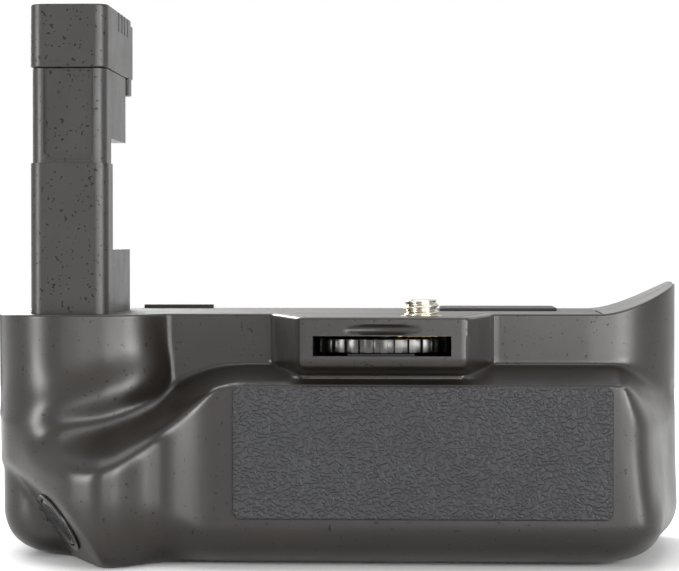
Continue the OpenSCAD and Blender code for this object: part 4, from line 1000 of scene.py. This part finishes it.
    def clear_bore(self, mesh: bmesh.types.BMesh) -> None:
        """Push the ragged rim of the button's hole out to a circle under the bezel.

        Args:
            mesh: the skin.
        """
        axis, centre = Vector(self.form.button_out), Vector(self.form.button_at) * MM
        for vert in mesh.verts:
            off = vert.co - centre
            along = off.dot(axis)
            out = off - axis * along
            if out.length < self.rim_hole_r * MM and abs(along) < self.hole_reach * MM:
                vert.co = centre + axis * along + out.normalized() * self.rim_hole_r * MM

    def on_slot(self, edge: bmesh.types.BMEdge) -> bool:
        """Whether an edge lies on the wheel slot's rim.

        Args:
            edge: edge of the skin.

        Returns:
            True on the slot's rim.
        """
        mid = (edge.verts[0].co + edge.verts[1].co) / 2 / MM
        pad = self.slot_pad
        return (
            self.slot_x[0] - pad < mid.x < self.slot_x[1] + pad
            and self.slot_z[0] - pad < mid.z < self.slot_z[1] + pad
            and mid.y < self.slot_front
        )

    def close_top(self, mesh: bmesh.types.BMesh) -> None:
        """Close the cradle at the ear and turn the land's inner edge down to the plate's seat.

        Args:
            mesh: the skin.
        """
        f = self.form
        cradle = f.right - f.ear_w
        land = [
            e for e in mesh.edges
            if e.is_boundary and min(v.co.z for v in e.verts) > (f.height - 0.01) * MM
            and max(v.co.y for v in e.verts) < (f.split - 0.1) * MM
            and abs(e.verts[0].co.x - e.verts[1].co.x) > self.touch * MM
        ]
        right = [e for e in land if min(v.co.x for v in e.verts) >= cradle * MM]
        left = [e for e in land if e not in right]
        self.push_in(mesh, left, Vector((0.0, 0.0, -self.land_drop)) * MM)
        made = bmesh.ops.extrude_edge_only(mesh, edges=right)["geom"]
        for v in [g for g in made if isinstance(g, bmesh.types.BMVert)]:
            v.co.y = f.split * MM

    @staticmethod
    def push_in(mesh: bmesh.types.BMesh, edges: Sequence[bmesh.types.BMEdge], way: Vector) -> None:
        """Extrude edges along a vector.

        Args:
            mesh: the mesh.
            edges: edges to extrude.
            way: the vector in metres.
        """
        made = bmesh.ops.extrude_edge_only(mesh, edges=list(edges))["geom"]
        moved = [g for g in made if isinstance(g, bmesh.types.BMVert)]
        bmesh.ops.translate(mesh, verts=moved, vec=way)


@dataclass
class Assembly:
    """Sub-assembly with pieces that keep the shape of their solids.

    Attributes:
        trims: node, finish and edge round in millimetres of each such piece.
    """

    trims: tuple[Trim, ...] = ()

    def build(self) -> list[Piece]:
        """Make the pieces of the trims."""
        return [refined(*trim) for trim in self.trims]


@dataclass
class Tower(Assembly):
    """Dummy battery: sleeve, insert and cap with their contacts."""

    trims: tuple[Trim, ...] = (
        ("tower_sleeve", TOWER, 0.35), ("tower_insert", TOWER, 0.35), ("tower_cap", TOWER, 0.35),
        ("tower_board", BOARD, 0.1), ("tower_contacts", GILT, 0.08), ("tower_ribbon", RIBBON, 0.05),
        ("tower_screws", STEEL, 0.15),
    )


@dataclass
class ThreadedScrew:
    """Camera screw with its quarter-inch thread.

    Attributes:
        pitch: pitch of the thread in millimetres.
        depth: depth of the thread.
        steps: samples round the screw.
        chamfer: chamfer at the screw's tip.
        flank: shares of half a pitch where a flank starts and that it takes.
        run_in: height over which the thread gets its full depth.
        plain_r: radii of the gear's journal and of the neck in the bush, at each level.
    """

    pitch: float = 1.27
    depth: float = 0.55
    steps: int = 72
    chamfer: float = 0.5
    flank: Span = (0.12, 0.76)
    run_in: float = 0.35
    plain_r: tuple[float, ...] = (1.8, 1.8, 2.5, 2.5)
    neck_l: float = 1.6
    seat_gap: float = 0.05
    step_h: float = 0.002
    rows: int = 40
    shade_crease: float = 40.0

    def build(self) -> Piece:
        """Make the screw from a helical height field on a cylinder.

        Returns:
            The piece that replaces the CAD screw.
        """
        low, high = (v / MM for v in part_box("camera_screw"))
        centre = (low + high) / 2
        radius = (high.x - low.x) / 2
        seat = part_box("gear_cover")[1].z / MM + self.seat_gap
        neck = seat - self.neck_l
        plain = [low.z, neck, neck, seat - self.step_h]
        levels = np.concatenate([plain, np.linspace(seat, high.z, self.rows)])
        mesh = bmesh.new()
        rings: list[list[bmesh.types.BMVert]] = []
        for k, z in enumerate(levels):
            ring = []
            for i in range(self.steps):
                turn = i / self.steps
                if k < len(plain):
                    r = self.plain_r[k]
                else:
                    r = self.thread(radius, z - seat, high.z - z, turn)
                angle = 2.0 * math.pi * turn
                place = Vector((centre.x + r * math.cos(angle), centre.y + r * math.sin(angle), z))
                ring.append(mesh.verts.new(place * MM))
            rings.append(ring)
        for a, b in zip(rings, rings[1:]):
            for i in range(self.steps):
                j = (i + 1) % self.steps
                mesh.faces.new((a[i], a[j], b[j], b[i]))
        mesh.faces.new(rings[0][::-1])
        mesh.faces.new(rings[-1])
        piece = add_piece("camera_screw_look", mesh, NICKEL, "screw", crease=self.shade_crease)
        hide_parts("camera_screw")
        return piece

    def thread(self, radius: float, above: float, below_tip: float, turn: float) -> float:
        """Radius of the thread at one place.

        Args:
            radius: outer radius.
            above: height above the seat.
            below_tip: distance below the tip.
            turn: share of a turn.

        Returns:
            The radius in millimetres.
        """
        phase = (above / self.pitch - turn) % 1.0
        ridge = max(0.0, min(1.0, (abs(2.0 * phase - 1.0) - self.flank[0]) / self.flank[1]))
        run_in = min(1.0, above / self.run_in)
        tip = max(0.0, self.chamfer - below_tip)
        return min(radius - self.depth * ridge * run_in, radius - tip)


@dataclass
class WheelDrive(Assembly):
    """Clamping wheel, its gears, bearing parts and the screw.

    Attributes:
        screw: the camera screw.
        wheel_edge: round of the wheel's edges in millimetres.
        gear_edge: round of the gear's edges.
        tooth_crease: edges of the teeth sharper than this many degrees are rounded.
    """

    screw: ThreadedScrew = field(default_factory=ThreadedScrew)
    wheel_edge: float = 0.12
    gear_edge: float = 0.06
    tooth_crease: float = 40.0
    trims: tuple[Trim, ...] = (
        ("screw_bush", BRASS, 0.12), ("wheel_axle", STEEL, 0.15), ("gear_bracket", DARK, 0.15),
        ("bracket_screws", STEEL, 0.15), ("gear_cover", PLATE, 0.12),
    )

    def build(self) -> list[Piece]:
        """Make the drive's pieces.

        Returns:
            The new objects.
        """
        return [
            refined("lock_wheel", KNURL, self.wheel_edge, crease=self.tooth_crease, flat=False),
            self.screw.build(),
            refined("screw_gear", BRASS, self.gear_edge, crease=self.tooth_crease),
            *super().build(),
        ]


@dataclass
class ReleaseButton(Assembly):
    """Release button in its bezel, with the spring and the switch below it.

    Attributes:
        spring_edge: round of the spring's edges in millimetres.
        spring_crease: edges of the spring sharper than this many degrees are rounded.
        spring_foot: depth of the spring's fixed end under the facet; not used.
    """

    spring_edge: float = 0.02
    spring_crease: float = 80.0
    spring_foot: float = 4.6
    trims: tuple[Trim, ...] = (
        ("shutter_button", BLACK, 0.18), ("button_bezel", BLACK, 0.18),
        ("shutter_switch", LINER, 0.12), ("switch_board", BOARD, 0.1),
    )

    def build(self) -> list[Piece]:
        """Make the button's pieces.

        Returns:
            The new objects.
        """
        spring = refined("button_spring", STEEL, self.spring_edge, crease=self.spring_crease)
        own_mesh(spring)
        return [spring, *super().build()]


@dataclass
class BatteryBay(Assembly):
    """Battery bay with its door, hinge and latch."""

    trims: tuple[Trim, ...] = (
        ("battery_door", BODY, 0.25), ("hinge_pin", STEEL, 0.12), ("latch_knob", BLACK, 0.25),
        ("latch_tongue", STEEL, 0.15), ("latch_screw", STEEL, 0.12), ("battery_bay", LINER, 0.2),
        ("contact_block", LINER, 0.15), ("battery_contacts", GILT, 0.12),
    )


@dataclass
class Case(Assembly):
    """Skin, pad, back moulding, seat and the fittings in them.

    Attributes:
        skin: skin of the front moulding.
        pad_edge: round of the rubber pad's edges in millimetres.
        pad_segments: facets across those edges.
    """

    skin: FrontSkin = field(default_factory=FrontSkin)
    pad_edge: float = 0.45
    pad_segments: int = 3
    trims: tuple[Trim, ...] = (
        ("rear_shell", BODY, 0.25), ("top_plate", PLATE, 0.2), ("top_mat", MAT, 0.2),
        ("lock_slider", BLACK, 0.25), ("slide_switch", STEEL, 0.15), ("main_board", BOARD, 0.1),
        ("board_screws", STEEL, 0.15), ("release_jack", LINER, 0.2), ("tripod_socket", BRASS, 0.2),
        ("case_screws", DARK, 0.15),
    )

    def build(self) -> list[Piece]:
        """Make the case's pieces."""
        pad = "grip_pad", PAD, self.pad_edge
        return [self.skin.build(), refined(*pad, segments=self.pad_segments), *super().build()]


@dataclass(frozen=True)
class SoftLight:
    """Rectangular studio light.

    Attributes:
        name: name of the light.
        place: position in metres.
        aim: point that it faces.
        size: width and height in metres.
        power: power in watts.
    """

    name: str
    place: Triple
    aim: Triple
    size: Span
    power: float

    def build(self) -> None:
        """Make the light."""
        data = bpy.data.lights.new(self.name, "AREA")
        data.shape = "RECTANGLE"
        data.size, data.size_y = self.size
        data.energy = self.power
        lamp = bpy.data.objects.new(self.name, data)
        lamp.location = self.place
        way = Vector(self.aim) - Vector(self.place)
        lamp.rotation_euler = way.to_track_quat("-Z", "Y").to_euler()
        bpy.context.scene.collection.objects.link(lamp)


@dataclass
class Studio:
    """Floor, lights, world and camera.

    Attributes:
        lights: soft lights.
        front_sky: brightness of the room in front of the object.
        back_sky: brightness of the room behind it.
        top_sky: brightness of the room above it.
        back_span: directions along y between which the front turns into the back.
        top_span: directions along z between which the top sets in.
        floor_size: half width of the floor in metres.
        floor_drop: distance of the floor under the object in metres.
        floor_colour: colour of the floor.
        eye: camera position in millimetres.
        yaw: turn of the camera to the left in degrees.
        pitch: downward tilt of the camera in degrees.
        focal_px: focal length in pixels of the photograph.
        image_w: width of the photograph in pixels.
    """

    lights: tuple[SoftLight, ...] = (
        SoftLight("key", (0.55, -0.42, 0.12), (0.0, -0.02, 0.03), (0.2, 0.3), 3.0),
        SoftLight("fill", (-0.52, -0.42, 0.14), (-0.01, -0.02, 0.03), (0.2, 0.3), 2.9),
        SoftLight("front", (0.25, -0.56, 0.08), (0.01, -0.02, 0.03), (0.42, 0.3), 2.8),
        SoftLight("top", (0.0, 0.0, 0.7), (0.0, 0.0, 0.05), (0.6, 0.5), 2.2),
        SoftLight("rear", (-0.3, 0.55, 0.3), (0.0, 0.03, 0.03), (0.4, 0.3), 4.0),
    )
    front_sky: float = 0.05
    back_sky: float = 1.0
    top_sky: float = 0.6
    back_span: Span = (-0.1, 0.7)
    top_span: Span = (0.25, 0.7)
    floor_size: float = 0.5
    floor_drop: float = 0.0002
    floor_colour: Triple = (0.93, 0.93, 0.93)
    eye: Triple = (17.92, -442.83, 58.55)
    yaw: float = 2.37
    pitch: float = 1.05
    focal_px: float = 2326.0
    image_w: float = 679.0

    def build(self) -> None:
        """Make the studio."""
        self.floor()
        self.world()
        for light in self.lights:
            light.build()
        self.camera()
        bpy.context.scene.view_settings.view_transform = "Standard"

    def floor(self) -> None:
        """Pale floor under the object."""
        mesh = bmesh.new()
        bmesh.ops.create_grid(mesh, x_segments=1, y_segments=1, size=self.floor_size)
        data = bpy.data.meshes.new("floor")
        mesh.to_mesh(data)
        mesh.free()
        floor = bpy.data.objects.new("floor", data)
        floor.location.z = -self.floor_drop
        bpy.context.scene.collection.objects.link(floor)
        mat = bpy.data.materials.new("Floor")
        mat.use_nodes = True
        bsdf = mat.node_tree.nodes["Principled BSDF"]
        bsdf.inputs["Base Color"].default_value = (*self.floor_colour, 1.0)
        bsdf.inputs["Roughness"].default_value = 0.9
        bsdf.inputs["Specular IOR Level"].default_value = 0.1
        data.materials.append(mat)

    def world(self) -> None:
        """White room to the eye and in reflections; its light is weaker in front of the object."""
        world = bpy.data.worlds.new("room")
        bpy.context.scene.world = world
        world.use_nodes = True
        tree = ShaderTree(world.node_tree)
        back = world.node_tree.nodes["Background"]
        back.inputs["Color"].default_value = (1.0, 1.0, 1.0, 1.0)
        path = tree.node("ShaderNodeLightPath").outputs
        seen = path["Is Camera Ray"]
        for ray in ("Is Glossy Ray", "Is Transmission Ray"):
            seen = tree.math("MAXIMUM", seen, path[ray])
        way = tree.node("ShaderNodeSeparateXYZ")
        tree.link(tree.node("ShaderNodeTexCoord").outputs["Generated"], way.inputs["Vector"])
        room = tree.ramp(way.outputs["Y"], *self.back_span, self.front_sky, self.back_sky)
        over = tree.ramp(way.outputs["Z"], *self.top_span, 0.0, self.top_sky)
        room = tree.math("MAXIMUM", room, over)
        tree.link(tree.math("MAXIMUM", room, seen), back.inputs["Strength"])

    def camera(self) -> None:
        """Camera at the photograph's place."""
        data = bpy.data.cameras.new("camera")
        data.sensor_width = 36.0
        data.lens = self.focal_px * data.sensor_width / self.image_w
        data.clip_start = 0.01
        eye = bpy.data.objects.new("camera", data)
        yaw, pitch = math.radians(self.yaw), math.radians(self.pitch)
        eye.location = Vector(self.eye) * MM
        eye.rotation_euler = (math.pi / 2 - pitch, 0.0, yaw)
        bpy.context.scene.collection.objects.link(eye)
        bpy.context.scene.camera = eye


def main() -> None:
    """Build every sub-assembly and the studio."""
    logging.basicConfig(level=logging.INFO, format="%(name)s: %(message)s")
    for assembly in (Case(), Tower(), WheelDrive(), ReleaseButton(), BatteryBay()):
        pieces = assembly.build()
        log.info("%s: %d pieces", type(assembly).__name__, len(pieces))
    Studio().build()


if __name__ == "__main__":
    main()
